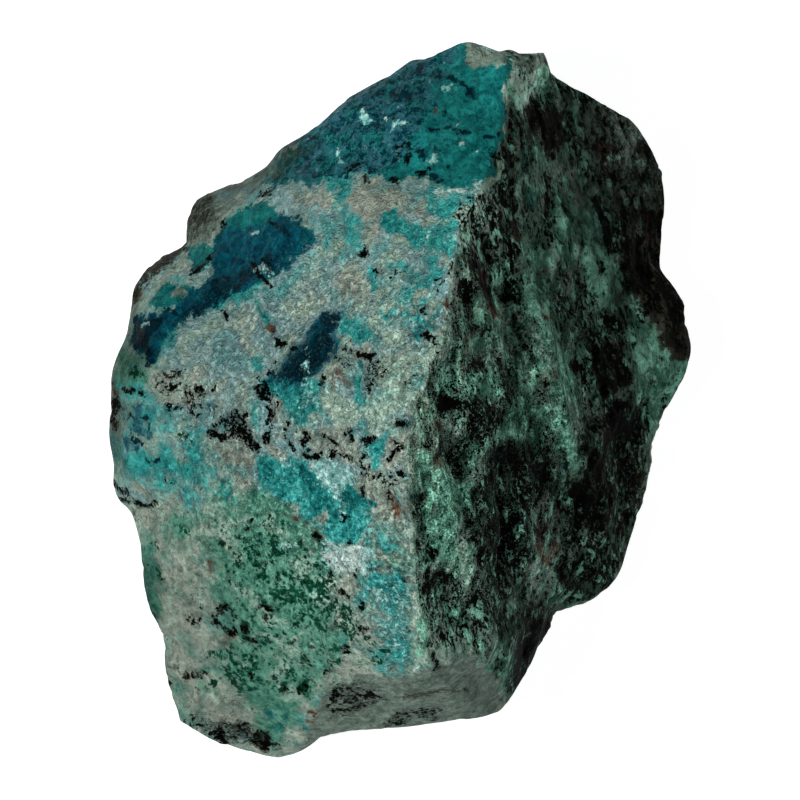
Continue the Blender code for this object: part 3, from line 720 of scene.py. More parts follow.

# %% [markdown]
# ## The bare rock
# The host rock is buff where it is weathered, and grey on the near facet and on the knobs of the rim.
# The brown layer is brown rock at the left rim and the near end, and painted shade on the outer facets
# and in the folds of the right face. The rock could be whatever is left where nothing else is drawn,
# but it also lies over the crust as scuffs, so it has outlines too.

# %% Rock
PATCHES["buff"] = [
    (.66, .8, "385,352 436,352 420,385 404,440 404,482 384,470 390,420"),
    (.75, .7, "165,660 200,655 215,700 240,725 190,725 / 350,180 372,172 400,186 430,196 440,220 "
     "400,224 380,214 376,240 364,262 366,300 335,306 330,280 352,262 350,225"),
    (.7, 1, "300,425 372,430 400,470 404,520 400,552 382,548 372,508 350,478 330,460 300,455"),
    (.62, 1, "150,560 215,560 215,700 190,712 160,650"),
    (.7, .7, "283,190 336,188 338,214 300,214 283,208"),
    (.8, .5, "216,196 232,190 262,176 280,160 290,150 300,140 268,160 230,182 208,190 195,198 200,215 "
     "208,228 218,222 232,205 262,196 / 268,440 300,446 298,460 282,464 270,454"),
    (.8, .4, "190,251 180,262 160,272 150,284 162,282 175,275 188,270 197,262 / 332,569 345,567 "
     "358,568 353,585 346,593 338,587 333,577 / 660,334 677,334 677,350 664,350"),
    (.65, .8, "222,300 240,302 245,315 228,322 218,312"),
    (.75, .5, "150,372 180,365 205,385 200,400 185,410 165,402 150,392 / 345,593 361,597 366,612 "
     "374,620 369,633 360,626 352,612 / 198,395 212,398 236,404 236,414 226,424 214,422 222,408 "
     "206,403 / 302,424 345,420 372,445 384,462 360,476 340,462 322,460 304,446 / 386,428 402,420 "
     "404,445 405,470 386,466 384,452 / 132,480 150,478 154,492 142,497 130,492 / 505,66 545,60 548,96 "
     "530,100 512,80"),
    (.8, .6, "195,418 205,440 230,445 250,452 258,465 256,486 240,492 215,470 200,458 188,440"),
    (.8, .9, "130,505 150,502 185,498 204,505 196,530 204,560 208,590 202,620 208,640 202,660 196,690 "
     "206,715 192,726 176,712 162,672 160,640 150,615 164,608 168,590 166,560 160,538 138,535"),
    (.75, .6, "212,690 235,684 252,700 256,720 264,735 240,727 215,722 202,712 / 553,262 576,262 "
     "576,303 555,303"),
    (.9, .6, "335,600 352,620 350,650 362,650 368,672 340,680 325,690 308,690 318,670 335,660 340,640"),
    (.85, .6, "298,625 320,630 318,650 320,670 300,668 300,645"),
    (.7, .4, "308,555 318,553 320,570 313,580 308,568"),
    (.7, .5, "316,518 324,526 322,533 310,528 305,518 / 224,425 236,428 244,436 246,446 230,442 / "
     "270,392 284,398 284,412 280,424 270,426 / 618,510 640,508 636,530 620,530"),
    (.75, .4, "352,352 362,345 374,350 380,362 366,366 352,360"),
    (.6, .6, "330,365 352,362 350,385 325,392 318,378 / 676,362 700,360 690,395 674,400"),
    (.6, .5, "345,160 362,149 366,158 352,166 / 455,205 480,195 500,200 498,300 470,300 458,260"),
    (.65, .7, "372,490 385,488 390,515 405,540 405,560 395,556 388,530 375,505"),
    (.7, .6, "268,740 285,735 300,715 315,700 325,690 330,700 312,722 300,742 285,754 270,756"),
    (.95, .35, "510,75 517,78 524,105 522,118 514,112 508,100"),
    (.95, .5, "562,145 570,143 578,165 588,190 588,207 572,208 560,190 556,170"),
    (.85, .4, "455,240 446,275 441,305 435,335 445,335 452,318 458,290 462,262 470,240 478,215 490,195 "
     "484,192 470,205 460,225 / 428,392 436,368 444,345 440,338 430,350 420,378 411,405 405,440 "
     "404,470 410,470 412,440 418,415 424,405"),
    (.9, .5, "528,515 545,492 560,492 558,530 562,592 524,592 524,560 530,545"),
    (.5, .8, "608,204 634,206 640,235 620,240"),
]
STROKES["buff"] = [
    (.7, .6, "338,714 400,702 460,694 495,691"),
    (.85, 1.3, "174,293 182,293"),
    (.8, .7, "206,267 210,272"),
    (.8, .8, "212,228 206,236"),
    (.8, 1.5, "222,493 245,500 264,504 282,511 300,516"),
    (.75, .8, "438,112"),
    (.7, .9, "404,157"),
    (.7, .8, "423,166 432,162"),
    (.85, .8, "583,380 587,402 598,422 607,440"),
    (.9, .7, "587,124 589,146"),
    (.9, .8, "592,168 598,186 604,203"),
    (.8, .6, "556,94 559,110"),
    (.9, .6, "518,144 519,160"),
    (1.1, 1, "578,380 585,398 594,412 602,428 607,440"),
    (.6, .8, "512,452 508,478"),
]
PATCHES["grey"] = [
    (1, .35, "300,775 306,735 312,718 324,696 340,683 352,677 372,674 400,672 430,666 450,656 475,651 "
     "488,672 500,690 506,735 450,745 387,750 337,755"),
    (1, .5, "176,252 170,215 182,188 205,178 219,198 214,222 204,238 192,246"),
    (.9, .35, "463,42 470,40 500,52 545,52 549,80 545,72 520,66 505,64 480,67 468,68 463,60"),
    (.9, .4, "118,292 140,286 146,300 140,314 120,320"),
    (.6, .8, "600,85 650,110 690,180 690,270 640,262 620,240 605,200 590,150 575,100"),
    (.6, .6, "215,185 262,158 290,128 300,150 265,184 235,198"),
]
STROKES["grey"] = [
    (.85, 1.1, "176,292 183,294"),
    (.75, .8, "206,267 210,272 / 212,228 207,235"),
]
# On the right face these patches are painted shade, where its outer facets turn from the key light. At the
# left rim and the near end they are brown rock.
PATCHES["brown_and_painted_shade"] = [
    (.5, .5, "180,706 215,718 250,724 276,734 262,754 225,744 188,730 / 176,252 170,215 182,188 "
     "205,178 219,198 214,222 204,238 192,246"),
    (.75, .4, "188,232 165,240 146,252 132,268 124,285 124,300 138,302 146,285 156,273 169,265 183,257 "
     "193,248"),
    (.45, .7, "600,90 650,110 690,180 690,262 640,262 618,240 604,200 590,150 578,105"),
    (.8, .5, "592,143 612,146 612,170 598,170 / 630,140 650,138 654,158 632,158"),
    (.9, .5, "642,204 654,204 690,196 690,262 650,268 642,248"),
    (.95, .6, "620,240 690,240 690,275 705,300 715,330 705,362 677,361 660,340 650,320 636,300 "
     "622,296"),
    (.7, .6, "587,340 629,338 629,386 600,398 590,380"),
    (.6, .5, "509,312 516,312 526,350 520,356 512,335"),
    (.7, .5, "521,103 560,108 562,150 545,160 524,135"),
    (.5, .8, "575,414 650,400 650,515 590,560 575,500"),
]
STROKES["brown_and_painted_shade"] = [
    (.44, .7, "350,703 400,696 448,686 470,688"),
    (.7, .8, "513,222 514,238"),
]
for mineral in ("buff", "grey", "brown_and_painted_shade"):
    print(mineral + ":", shapes_of(mineral), "shapes")

# %% [markdown]
# ## Rust
# Iron has left a few rusty threads and spots. They are small, but without them the stone looks
# painted. They could be strewn at random, but rust follows cracks and edges, so it is drawn.

# %% Rust
PATCHES["rust"] = [
    (.45, .5, "522,512 558,508 560,560 526,562"),
    (.6, .35, "386,490 408,486 412,510 392,516"),
    (.5, .5, "592,143 612,148 610,165 598,165"),
    (.5, .6, "660,322 690,330 686,342 664,340"),
]
STROKES["rust"] = [
    (1, 1.1, "266,327 272,328"),
    (.6, 1, "340,372 348,382 / 112,420 116,430"),
    (.8, .5, "432,114 434,112"),
    (.6, .7, "330,626 334,622 / 113,384 116,394 / 537,317 550,317 / 476,358 480,370"),
    (.7, .5, "284,512 295,516 304,515 / 321,702 324,697 / 455,255 458,264"),
    (.75, .3, "397,503 392,490 / 397,503 392,515 / 397,503 404,512"),
    (.8, .3, "397,503 402,494 / 397,503 386,500 / 397,503 385,509 / 306,714 311,709 316,713 313,719 "
     "307,718 306,714"),
    (.9, 1, "397,502"),
    (.75, .4, "403,515 407,519"),
    (.5, 1, "222,566 214,562"),
    (.6, .9, "211,567 208,560"),
    (.55, 1.1, "188,674 204,669"),
    (.5, 1.2, "232,634 225,640"),
    (.9, .7, "478,270 481,285 486,299"),
    (.9, .9, "488,303 494,314"),
    (.75, .6, "446,298 444,306"),
    (.65, .9, "648,215 651,240"),
    (.7, .8, "540,520 538,530"),
    (.7, .7, "540,552 544,560"),
    (.5, .8, "513,222 514,238 / 590,345 594,355 / 512,316 522,345"),
    (.5, .7, "489,580 492,576"),
    (.6, .6, "434,418 438,428"),
]
print("rust:", shapes_of("rust"), "shapes")

# %% [markdown]
# ## Black oxide
# Manganese and copper oxides branch along the cracks of the left face and crowd on the right face.
# The large flecks are drawn one by one. To draw the crowds like that would take thousands of strokes,
# so only the outline of a crowd is drawn, with how thickly it is filled.

# %% Oxide
PATCHES["oxide"] = [
    (.37, .4, "184,712 215,722 250,728 272,738 262,752 225,742 190,728"),
    (.42, .6, "334,355 350,352 352,376 340,374"),
    (.5, .6, "362,370 378,362 390,368 388,378 372,392 366,391 368,378"),
    (.56, .4, "400,376 409,377 409,388 402,389 397,382"),
    (.5, .5, "156,378 165,367 182,370 181,384 171,396 158,393"),
    (.42, .5, "183,388 198,386 206,400 202,414 188,408"),
    (.5, .4, "262,378 274,360 278,368 270,384 276,398 284,402 282,412 274,404 264,398"),
    (.62, .3, "229,413 242,402 247,411 245,426 233,425 222,426"),
    (.78, .3, "228,427 240,424 248,427 256,436 262,446 256,452 247,447 238,438 230,434"),
    (.85, .25, "202,430 210,425 224,427 230,436 226,441 212,438"),
    (.4, .6, "375,468 402,462 402,500 380,500"),
    (.85, .2, "347,536 352,528 359,536"),
    (.6, .5, "228,722 250,724 254,742 240,742 232,735"),
    (.56, .3, "382,724 388,715 402,710 420,709 436,707 442,711 428,716 412,718 404,725"),
    (.42, .4, "328,682 346,680 376,686 378,697 362,706 344,712 330,714"),
    (.7, .35, "579,438 603,436 603,482 581,482"),
    (.35, .6, "430,345 455,337 498,352 508,400 500,446 470,476 444,452 420,436 428,390"),
    (.68, .4, "505,113 514,112 517,135 514,160 512,200 516,238 506,240 490,238 492,215 497,190 500,160 "
     "504,130"),
    (.78, .5, "521,103 545,105 562,112 562,150 548,156 536,140 524,130"),
    (.58, .5, "512,120 530,125 532,150 518,165 / 608,204 634,206 640,240 625,262 612,240 / 515,452 "
     "530,448 560,458 562,500 540,505 520,480"),
    (.9, .3, "484,224 499,224 499,237 486,237 / 411,492 420,490 423,527 414,520 / 430,545 436,545 "
     "430,560 418,566 420,558"),
    (.71, .4, "470,257 484,256 484,274 472,272 / 500,240 516,240 518,290 504,290"),
    (.98, .3, "459,282 472,280 474,304 464,305 460,296 / 495,292 513,290 512,303 497,302"),
    (.53, .6, "455,205 480,195 500,200 500,300 470,300 458,260"),
    (.53, .5, "457,232 470,232 470,262 460,262"),
    (.85, .3, "547,237 557,236 557,246 549,247 / 474,357 482,357 482,372 475,370 / 419,439 427,436 "
     "432,446 426,449 / 437,630 452,628 450,642 440,642"),
    (.59, .4, "566,122 578,130 588,165 584,190 576,165 568,145 / 499,355 512,355 517,375 513,407 "
     "500,407"),
    (.74, .5, "560,80 596,90 590,104 564,104"),
    (.95, .3, "609,168 618,168 617,178 610,177 / 590,194 598,204 606,222 614,250 606,248 598,226 "
     "590,206"),
    (.76, .5, "617,227 645,240 662,262 690,272 705,288 705,320 676,322 656,310 640,300 622,290 618,262 "
     "/ 587,330 600,330 600,360 590,372 584,352"),
    (.64, .5, "642,204 690,200 690,262 650,268 / 430,366 436,366 436,392 430,392 / 455,400 505,400 "
     "505,440 455,440"),
    (.66, .5, "597,309 631,309 631,338 600,340"),
    (.61, .6, "587,340 629,340 629,386 600,386"),
    (.9, .4, "600,378 614,378 616,398 602,398"),
    (.85, .4, "574,353 588,353 588,378 576,380 / 464,412 480,412 480,430 466,430"),
    (.76, .4, "472,324 484,324 484,341 474,341 / 434,413 443,415 442,433 435,431"),
    (.51, .4, "442,345 463,345 463,366 442,366"),
    (1, .3, "434,396 446,394 461,400 460,410 440,412"),
    (.61, .5, "430,440 460,440 470,475 460,478 440,462"),
    (.61, .7, "468,478 500,440 540,452 560,478 576,480 600,446 612,420 640,400 650,430 648,470 645,500 "
     "632,540 620,572 600,592 565,590 560,540 548,500 530,520 524,592 505,604 490,600 470,560 462,520"),
    (.7, .5, "480,508 528,510 530,560 500,565 482,550"),
    (.87, .5, "565,480 600,478 610,520 580,530 565,510"),
    (.9, .5, "600,398 634,396 638,442 604,450"),
    (.66, .6, "486,436 552,440 560,484 486,484"),
    (.85, .5, "515,630 550,625 545,660 510,695"),
    (.74, .4, "490,150 512,148 514,205 494,215"),
    (.7, .6, "560,560 638,555 615,598 562,600"),
    (.76, .35, "419,572 430,568 455,566 456,582 440,584 432,596 422,590"),
    (.76, .3, "461,625 474,621 472,640 463,640"),
    (.66, .4, "489,611 507,609 507,642 494,640"),
    (.45, .8, "410,570 480,570 500,600 520,610 550,605 545,632 520,660 490,640 450,650 425,640"),
    (.74, .6, "518,610 552,604 548,640 525,665"),
]
STROKES["oxide"] = [
    (.9, .6, "220,227 224,222 / 420,312 423,309 / 356,353 364,356 373,354 / 257,388 265,386 262,394 "
     "268,399 / 304,453 312,457 319,455 / 250,518 248,528"),
    (.85, .5, "258,194 264,193 271,191 / 389,204 394,203 / 436,281 434,284 / 271,407 273,415 268,421 "
     "270,431 263,437 268,443 271,436 / 303,441 309,437 305,430 / 266,526 / 361,595 364,599 362,605 / "
     "246,634 256,640 / 301,656 306,652 / 431,649 436,661"),
    (.9, .4, "190,274 197,270 207,263 211,253 / 257,608 264,604 269,607 / 117,497 128,501 / 346,698 "
     "358,696 367,693 374,691"),
    (.8, .4, "254,264 258,272 263,279 271,286 / 395,163 400,155 / 403,164 408,154 412,148 / 282,423 "
     "290,421 286,429 / 305,445 311,450 / 391,440 399,441 / 263,612 265,618 / 308,661"),
    (.85, .4, "223,311 228,316 / 309,438 318,433 328,438 336,443 / 330,711 340,709"),
    (.9, .8, "276,339 283,344"),
    (.7, .4, "270,351 278,345 / 288,347 296,350 / 399,150 406,146 / 441,287 444,283 / 237,523 / "
     "205,672 / 186,487 / 528,353 536,370 546,388"),
    (.95, .8, "350,169 357,167 / 398,421 403,423"),
    (.85, .6, "366,180 / 419,335 424,334 426,340 / 284,436 290,440 295,447 / 388,459 394,451 400,446 / "
     "360,628 365,626 / 113,484 120,490 127,491 / 371,690 376,692 / 430,650 436,662"),
    (.8, .6, "391,181 397,183 / 183,722 192,727 200,725 / 168,683 / 545,175 546,200 544,228"),
    (.9, .5, "416,176 428,171 / 196,389 200,387 203,395 / 331,567 333,572 / 340,588 348,594 / 331,696 "
     "335,689 342,684"),
    (.95, .7, "361,256 364,251"),
    (.8, .3, "369,256 / 362,702 374,700"),
    (.6, .3, "374,270 379,269 380,275 376,277 373,273"),
    (.7, .3, "389,278 398,272 / 426,314 / 296,428 303,431"),
    (.75, .3, "450,268 446,275 440,279 / 334,449 346,455 357,462 366,470"),
    (.65, .3, "434,285 437,292 / 340,452 352,455 364,461 374,468"),
    (.8, .5, "429,340 434,344 / 349,339 346,346 351,351 / 167,404 172,410 180,406 / 344,434 350,428 "
     "352,438 / 399,469 404,472 / 125,388 135,390 143,394 / 598,262 601,270"),
    (.75, .4, "416,346 / 340,520 344,519 / 272,605 272,611 / 167,478 172,482 176,481"),
    (.75, .5, "371,385 370,391 / 323,377 321,385 / 191,412 199,413 / 366,449 363,458 / 361,473 370,476 "
     "378,472 / 397,477 / 341,514 347,514 / 324,671 329,669 / 272,744 278,746"),
    (.6, .4, "411,378 418,372 / 211,391 215,387 / 315,529 318,539 / 355,567 358,577"),
    (.8, .9, "331,451 334,453"),
    (.85, 1, "364,439 371,437"),
    (.7, .5, "357,488 363,484 362,495 / 112,418 116,428 / 579,280 586,298 592,306"),
    (.95, .6, "313,533 319,535 / 344,708 356,705 362,703"),
    (.75, .8, "221,609 228,604"),
    (.7, 1, "215,618 222,626"),
    (.72, 1, "231,629 235,631"),
    (.9, .7, "245,623 247,626 / 114,400 118,406 114,413"),
    (.6, .5, "259,645 / 250,669 250,678 / 401,571 406,577 / 509,312 516,330 524,350"),
    (.6, .6, "196,603 199,604"),
    (.55, .9, "188,616 196,620"),
    (.6, .8, "187,674 200,675 206,668"),
    (.8, .7, "346,641 347,648"),
    (.8, .8, "301,688 304,683"),
    (.7, .6, "280,690 284,685"),
    (.85, .9, "211,735 218,730 222,741"),
    (.95, 1.2, "256,739 262,736 266,744"),
    (.95, .4, "134,501 145,505 158,501"),
    (.65, .5, "149,612 156,618"),
]
print("oxide:", shapes_of("oxide"), "shapes")

# %% [markdown]
# ## Painted shade and painted light
# The last two aren't minerals. Painted shade darkens whatever it lies on, as shade does on the outer
# facets of the right face, along the left rim and on the flanks. Painted light brightens it where the
# lamps leave too little light, as on the steep strip right of the ridge. The plain boxes among them only
# set how bright a stretch of the stone is, and were found by trying, render after render. Each mineral
# could have a dark and a bright twin, but one factor on whatever is there does the same and keeps its
# flecks.

# %% Painted shade and painted light
# Painted shade: darkening that stands in for the shade on facets that turn from the key light.
PATCHES["painted_shade"] = [
    (.6, .8, "636,318 716,326 700,400 650,420 636,380"),
    (.32, .7, "165,590 240,590 240,650 262,735 190,725 165,660"),
    (.7, .7, "100,550 160,550 168,620 130,640"),
    (.65, .8, "160,178 258,146 300,118 308,150 262,195 210,220 178,245"),
    (.28, .8, "280,156 322,160 440,160 440,196 400,198 280,200"),
    (.22, .7, "278,320 318,320 318,362 278,362"),
    (.2, .7, "396,340 438,345 420,400 396,400 / 404,440 440,445 440,482 404,482 / 320,560 345,560 "
     "350,640 320,640"),
    (.25, .7, "145,515 200,515 200,562 150,562"),
    (.8, .8, "80,316 130,310 164,345 150,362 125,380 125,470 92,470"),
    (.45, .8, "170,180 250,150 300,122 312,140 296,170 265,190 215,205 180,240"),
    (.2, .8, "130,255 200,235 245,240 215,285 150,300"),
    (.22, .8, "130,314 275,310 275,362 140,370 / 145,515 240,515 240,560 150,562"),
    (.16, .8, "160,400 245,400 245,440 160,440"),
    (.25, .8, "160,160 260,140 262,200 215,240 180,260 160,250 / 100,478 160,478 150,520 130,530"),
    (.3, .7, "195,440 245,440 245,482 200,482"),
    (.92, .7, "560,180 600,160 665,150 690,240 640,232 600,250 565,240 / 592,262 630,256 640,325 "
     "612,325 596,290"),
    (.5, .8, "518,238 562,238 600,318 600,362 520,362 / 600,200 640,240 700,300 705,330 660,330 "
     "620,290 610,250"),
    (.84, .7, "552,64 612,80 606,162 560,166"),
    (.66, .8, "515,440 556,446 600,440 602,520 565,520 556,484 520,484"),
    (.74, .7, "598,358 636,358 640,445 606,446"),
    (.95, .6, "524,605 570,600 562,640 515,700 508,670"),
    (.65, .6, "640,322 716,326 716,366 662,352"),
    (.45, .7, "556,560 640,555 620,600 560,605"),
    (.4, 1, "545,190 620,190 622,285 540,290"),
    (.25, 1, "495,270 560,270 560,350 500,350"),
    (.4, .7, "636,446 676,446 668,484 636,484 / 610,328 650,328 640,385 610,390"),
    (.75, .5, "583,430 604,430 604,482 584,482"),
    (.46, 1, "490,400 545,410 580,440 600,480 500,482 450,476 452,445 490,440"),
    (.3, .6, "655,350 700,350 700,400 655,400"),
    (.4, .8, "495,605 570,600 560,640 510,690"),
    (.3, .8, "120,590 215,590 215,700 190,725 150,690"),
    (.95, .8, "640,76 690,96 712,170 712,240 650,238 632,200 634,150 632,110"),
    (.45, 1, "505,125 560,105 600,150 610,205 575,210 560,180 545,230 505,240"),
    (.2, 1.2, "130,500 215,540 215,700 190,725 150,620"),
]
# Painted light: brightening where the lamps leave the stone too dark.
PATCHES["painted_light"] = [
    (.22, .6, "322,316 358,316 360,356 324,360"),
    (.8, .5, "640,244 684,244 684,270 646,270"),
    (.3, .5, "602,126 640,130 640,156 606,156 / 640,402 666,402 664,440 640,440"),
    (.35, .4, "411,470 424,470 426,600 412,600"),
    (.9, .5, "504,40 550,40 550,84 508,80"),
    (1.6, .6, "434,360 480,356 480,402 440,404"),
    (.8, .6, "440,556 480,556 480,602 440,602"),
    (.2, .6, "436,195 470,190 460,240 436,240 / 560,284 602,284 602,318 560,318 / 440,560 480,560 "
     "480,600 440,600"),
    (.25, .7, "355,715 400,700 400,745 350,755"),
    (.52, .8, "290,118 330,105 400,105 430,140 420,180 300,182"),
    (.14, .6, "335,235 400,235 400,282 335,282 / 280,236 320,240 320,275 282,280"),
    (1.1, .6, "440,276 466,262 476,320 440,328"),
    (.5, .6, "480,235 520,235 520,285 480,285"),
    (1.2, .6, "440,436 480,434 480,482 440,482"),
    (.32, .7, "360,438 404,438 404,482 360,482"),
    (.12, .7, "240,518 282,518 320,640 320,682 280,682"),
    (.14, .7, "280,440 330,440 330,520 280,520"),
    (.38, .6, "396,40 550,40 550,84 506,110 480,110 470,72 396,76"),
    (.1, .6, "280,350 330,350 330,400 280,400"),
    (.35, .6, "320,318 345,318 345,345 325,350"),
    (.3, .8, "475,480 560,470 560,600 480,600"),
    (.15, .7, "325,515 370,515 370,560 325,560"),
    (.4, .7, "414,440 428,435 462,470 474,500 474,560 480,600 500,640 475,652 428,658 424,560 418,480"),
    (.9, .8, "432,345 455,335 500,350 508,400 498,445 470,470 440,450 418,430"),
    (.5, .4, "506,66 545,60 548,96 522,118 512,110"),
    (1.1, .5, "456,208 474,196 500,194 500,228 474,248 450,262"),
    (1, .6, "420,590 465,592 465,642 424,648"),
]
STROKES["painted_light"] = [
    (.7, .8, "583,380 587,402 598,422 607,440"),
    (.55, 1.3, "556,402 566,436 573,472"),
    (.8, 1, "578,380 594,412 607,440"),
]
for mineral in ("painted_shade", "painted_light"):
    print(mineral + ":", shapes_of(mineral), "shapes")

# %% [markdown]
# ## From outlines to places
# An outline is only useful once we can ask of any place on the stone whether it is inside, and how
# far it is from the line. Both are school geometry: a place is inside when a line from it crosses the
# outline an odd number of times, and its distance is that to the nearest segment. Blender has tools
# for this on meshes, but with numpy one call answers for all the points of the skin at once.

# %% Inside and distance
def on_plan(points):
    """A list of squares of the tracing, as places on the stone in mm."""
    pairs = (pair.split(",") for pair in points.split())
    return [((int(across) - MIDDLE) * SQUARE, (MIDDLE - int(down)) * SQUARE) for across, down in pairs]


def distance_to(points, x, y):
    """The distance of each place to a line of points, or to the only point."""
    nearest = np.full(x.shape, np.inf)
    ends = points[1:] if len(points) > 1 else points
    for (ax, ay), (bx, by) in zip(points, ends):
        dx, dy = bx - ax, by - ay
        span = dx * dx + dy * dy
        share = np.clip(((x - ax) * dx + (y - ay) * dy) / span, 0, 1) if span else 0
        nearest = np.minimum(nearest, np.hypot(x - ax - share * dx, y - ay - share * dy))
    return nearest


def is_inside(points, x, y):
    """Whether each place is inside an outline."""
    odd = np.zeros(x.shape, dtype=bool)
    for (ax, ay), (bx, by) in zip(points, points[1:] + points[:1]):
        if ay != by:
            odd ^= ((ay > y) != (by > y)) & (x < ax + (bx - ax) * (y - ay) / (by - ay))
    return odd


def near(points, x, y, reach):
    """The numbers of the places in an outline's box, or within reach of it."""
    xs, ys = zip(*points)
    across = (x > min(xs) - reach) & (x < max(xs) + reach)
    return np.nonzero(across & (y > min(ys) - reach) & (y < max(ys) + reach))[0]


print("the vein starts, in mm, at", on_plan("212,238")[0])

# %% [markdown]
# ## Ragged edges
# No mineral ends on a smooth line. We could draw every notch, but it is less work to push each point
# about with noise before we ask where it is, as if the tracing paper had been crumpled: wide waves
# for patches, which are large, and short low ones for strokes, which would lose their way.

# %% Crumpled places
# Each use of the noise sits at its own seat, so that no two of them follow each other.
PATCH_SEAT = 7
STROKE_SEAT = 19
UP_DOWN_SEAT = 31
# The size of each wave and how far it pushes, in mm.
PATCH_WAVES = [(3.0, 0.7), (1.2, 0.45)]
STROKE_WAVES = [(1.3, 0.3)]


def strayed(points, seat, waves):
    """The points' places on the plan, pushed about by waves of noise."""
    x, y = points[:, 0].copy(), points[:, 1].copy()
    for size, reach in waves:
        x += reach * each(lumps, size, points + seat)
        y += reach * each(lumps, size, points + seat + UP_DOWN_SEAT)
    return x, y


patch_x, patch_y = strayed(spots, PATCH_SEAT, PATCH_WAVES)
stroke_x, stroke_y = strayed(spots, STROKE_SEAT, STROKE_WAVES)
print("patches stray by up to", round(float(np.abs(patch_x - spots[:, 0]).max()), 1), "mm")

# %% [markdown]
# ## Fields of minerals
# Each point of the skin gets one number per mineral: how much of it there is. Inside an outline that
# is the amount written for it, and it falls off over the soft edge. Where shapes overlap, the larger
# amount holds. Adding them up would be the other way, but then each overlap would show as a spot.

# %% One mineral's field
# A patch fades over twice its softness each way, a stroke from its middle out to nearly its width.
PATCH_FADE = 2
STROKE_FADE = 0.9


def rows_of(groups):
    """Each outline or stroke with its amount and its softness or width."""
    return [(amount, size, on_plan(text)) for amount, size, texts in groups for text in texts.split(" / ")]


def field_of(mineral):
    """How much of a mineral the map has at every point."""
    field = np.zeros(len(spots))
    for amount, soft, points in rows_of(PATCHES.get(mineral, [])):
        reach = PATCH_FADE * soft
        some = near(points, patch_x, patch_y, reach)
        x, y = patch_x[some], patch_y[some]
        depth = distance_to(points + points[:1], x, y)
        depth = np.where(is_inside(points, x, y), depth, -depth)
        field[some] = np.maximum(field[some], amount * ramp(depth, -reach, reach))
    for amount, width, points in rows_of(STROKES.get(mineral, [])):
        reach = STROKE_FADE * width
        some = near(points, stroke_x, stroke_y, reach)
        away = distance_to(points, stroke_x[some], stroke_y[some])
        field[some] = np.maximum(field[some], amount * (1 - ramp(away, 0, reach)))
    return field


# %% [markdown]
# ## What the map leaves out
# Between the outlines each mineral is strewn thinly, more or less of it in each region, and a slow
# noise gathers it here and thins it there. The flanks under the rim have no map at all. They take the
# rim's minerals, fading as they go down, and patches of their own. We could draw maps for them too,
# but from above they hardly show. Nothing is strewn on the solid blue crusts, which are clean.

# %% Strewn minerals
# The left face's far half, its near half, the right face, the flanks.
STREWN = {
    "sky": (0.58, 0.22, 0.14, 0.15),
    "buff": (0.28, 0.46, 0.26, 0.62),
    "green": (0.18, 0.26, 0.40, 0.42),
    "palegreen": (0.30, 0.28, 0.30, 0.20),
    "mint": (0.05, 0.16, 0.42, 0.36),
    "turq": (0.22, 0.12, 0.08, 0.28),
    "teal": (0.06, 0.00, 0.00, 0.12),
    "slate": (0.10, 0.00, 0.00, 0.10),
    "deep": (0.00, 0.00, 0.00, 0.10),
    "navy": (0.08, 0.00, 0.00, 0.10),
    "ice_and_highlight": (0.20, 0.12, 0.06, 0.08),
    "white_and_glint": (0.08, 0.06, 0.04, 0.05),
    "grey": (0.12, 0.10, 0.22, 0.42),
    "brown_and_painted_shade": (0.05, 0.12, 0.24, 0.30),
    "malachite": (0.06, 0.14, 0.24, 0.32),
    "rust": (0.02, 0.04, 0.16, 0.28),
    "oxide": (0.04, 0.05, 0.25, 0.40),
    # The last two rows are painted shade and painted light, not minerals.
    "painted_shade": (0.00, 0.06, 0.10, 0.20),
    "painted_light": (0.00, 0.00, 0.00, 0.00),
}
print("minerals and other fields:", len(STREWN))

# %% [markdown]
# ## Fields on the skin
# Now the map and what is strewn come together, and each field goes onto the skin as an attribute: a
# number per point with a name, which a material can read. An image would need seams and a size, and
# a vertex colour holds only four numbers. Where chrysocolla is solid, or mint covers the right face,
# less is strewn.

# %% Write the fields
# Where the left face's near half gives way to its far half, along Y in mm.
HALVES_MEET = (-13, -6)
# The heights, in mm, over which a flank takes on the rim's minerals.
FLANK_FADE = (3, 13)
# The slow noise: its size in mm, how strong it is on top and on the flanks, and where it sits.
DRIFT_SIZE = 5.0
DRIFT_ON_TOP = 0.16
DRIFT_ON_FLANK = 0.35
DRIFT_SEAT = 100
NEXT_SEAT = 13
# How much of the strewn oxide a full cover of mint keeps off.
KEPT_CLEAN = 0.6

fields = {mineral: field_of(mineral) for mineral in STREWN}
far_half = ramp(spots[:, 1], *HALVES_MEET)
regions = np.stack([far_half * (1 - right), (1 - far_half) * (1 - right), right])
mapped = (1 - under) + under * ramp(spots[:, 2], *FLANK_FADE)
bare = 1 - np.clip(1.2 * np.maximum(fields["teal"], fields["deep"]), 0, 1)
clean = right * np.clip(np.maximum(fields["mint"], 0.8 * fields["palegreen"]), 0, 1)


def write_field(name, values):
    """Keep a number for each point of the skin, where the material can read it by its name."""
    layer = skin.attributes.new(name, "FLOAT", "POINT")
    layer.data.foreach_set("value", values.astype(np.float32))


for number, (mineral, field) in enumerate(fields.items()):
    *shares, flank_share = STREWN[mineral]
    drift = each(lumps, DRIFT_SIZE, spots + DRIFT_SEAT + NEXT_SEAT * number)
    strewn = (np.array(shares) @ regions + DRIFT_ON_TOP * drift) * (1 - under) * bare
    if mineral == "oxide":
        strewn *= 1 - KEPT_CLEAN * clean
    on_flank = np.clip(flank_share + DRIFT_ON_FLANK * drift, 0, 1)
    field = np.maximum(field, strewn) * mapped + on_flank * (1 - mapped)
    write_field(mineral, field)
    print(mineral, "covers", round(float(np.mean(field > 0.5)), 2))

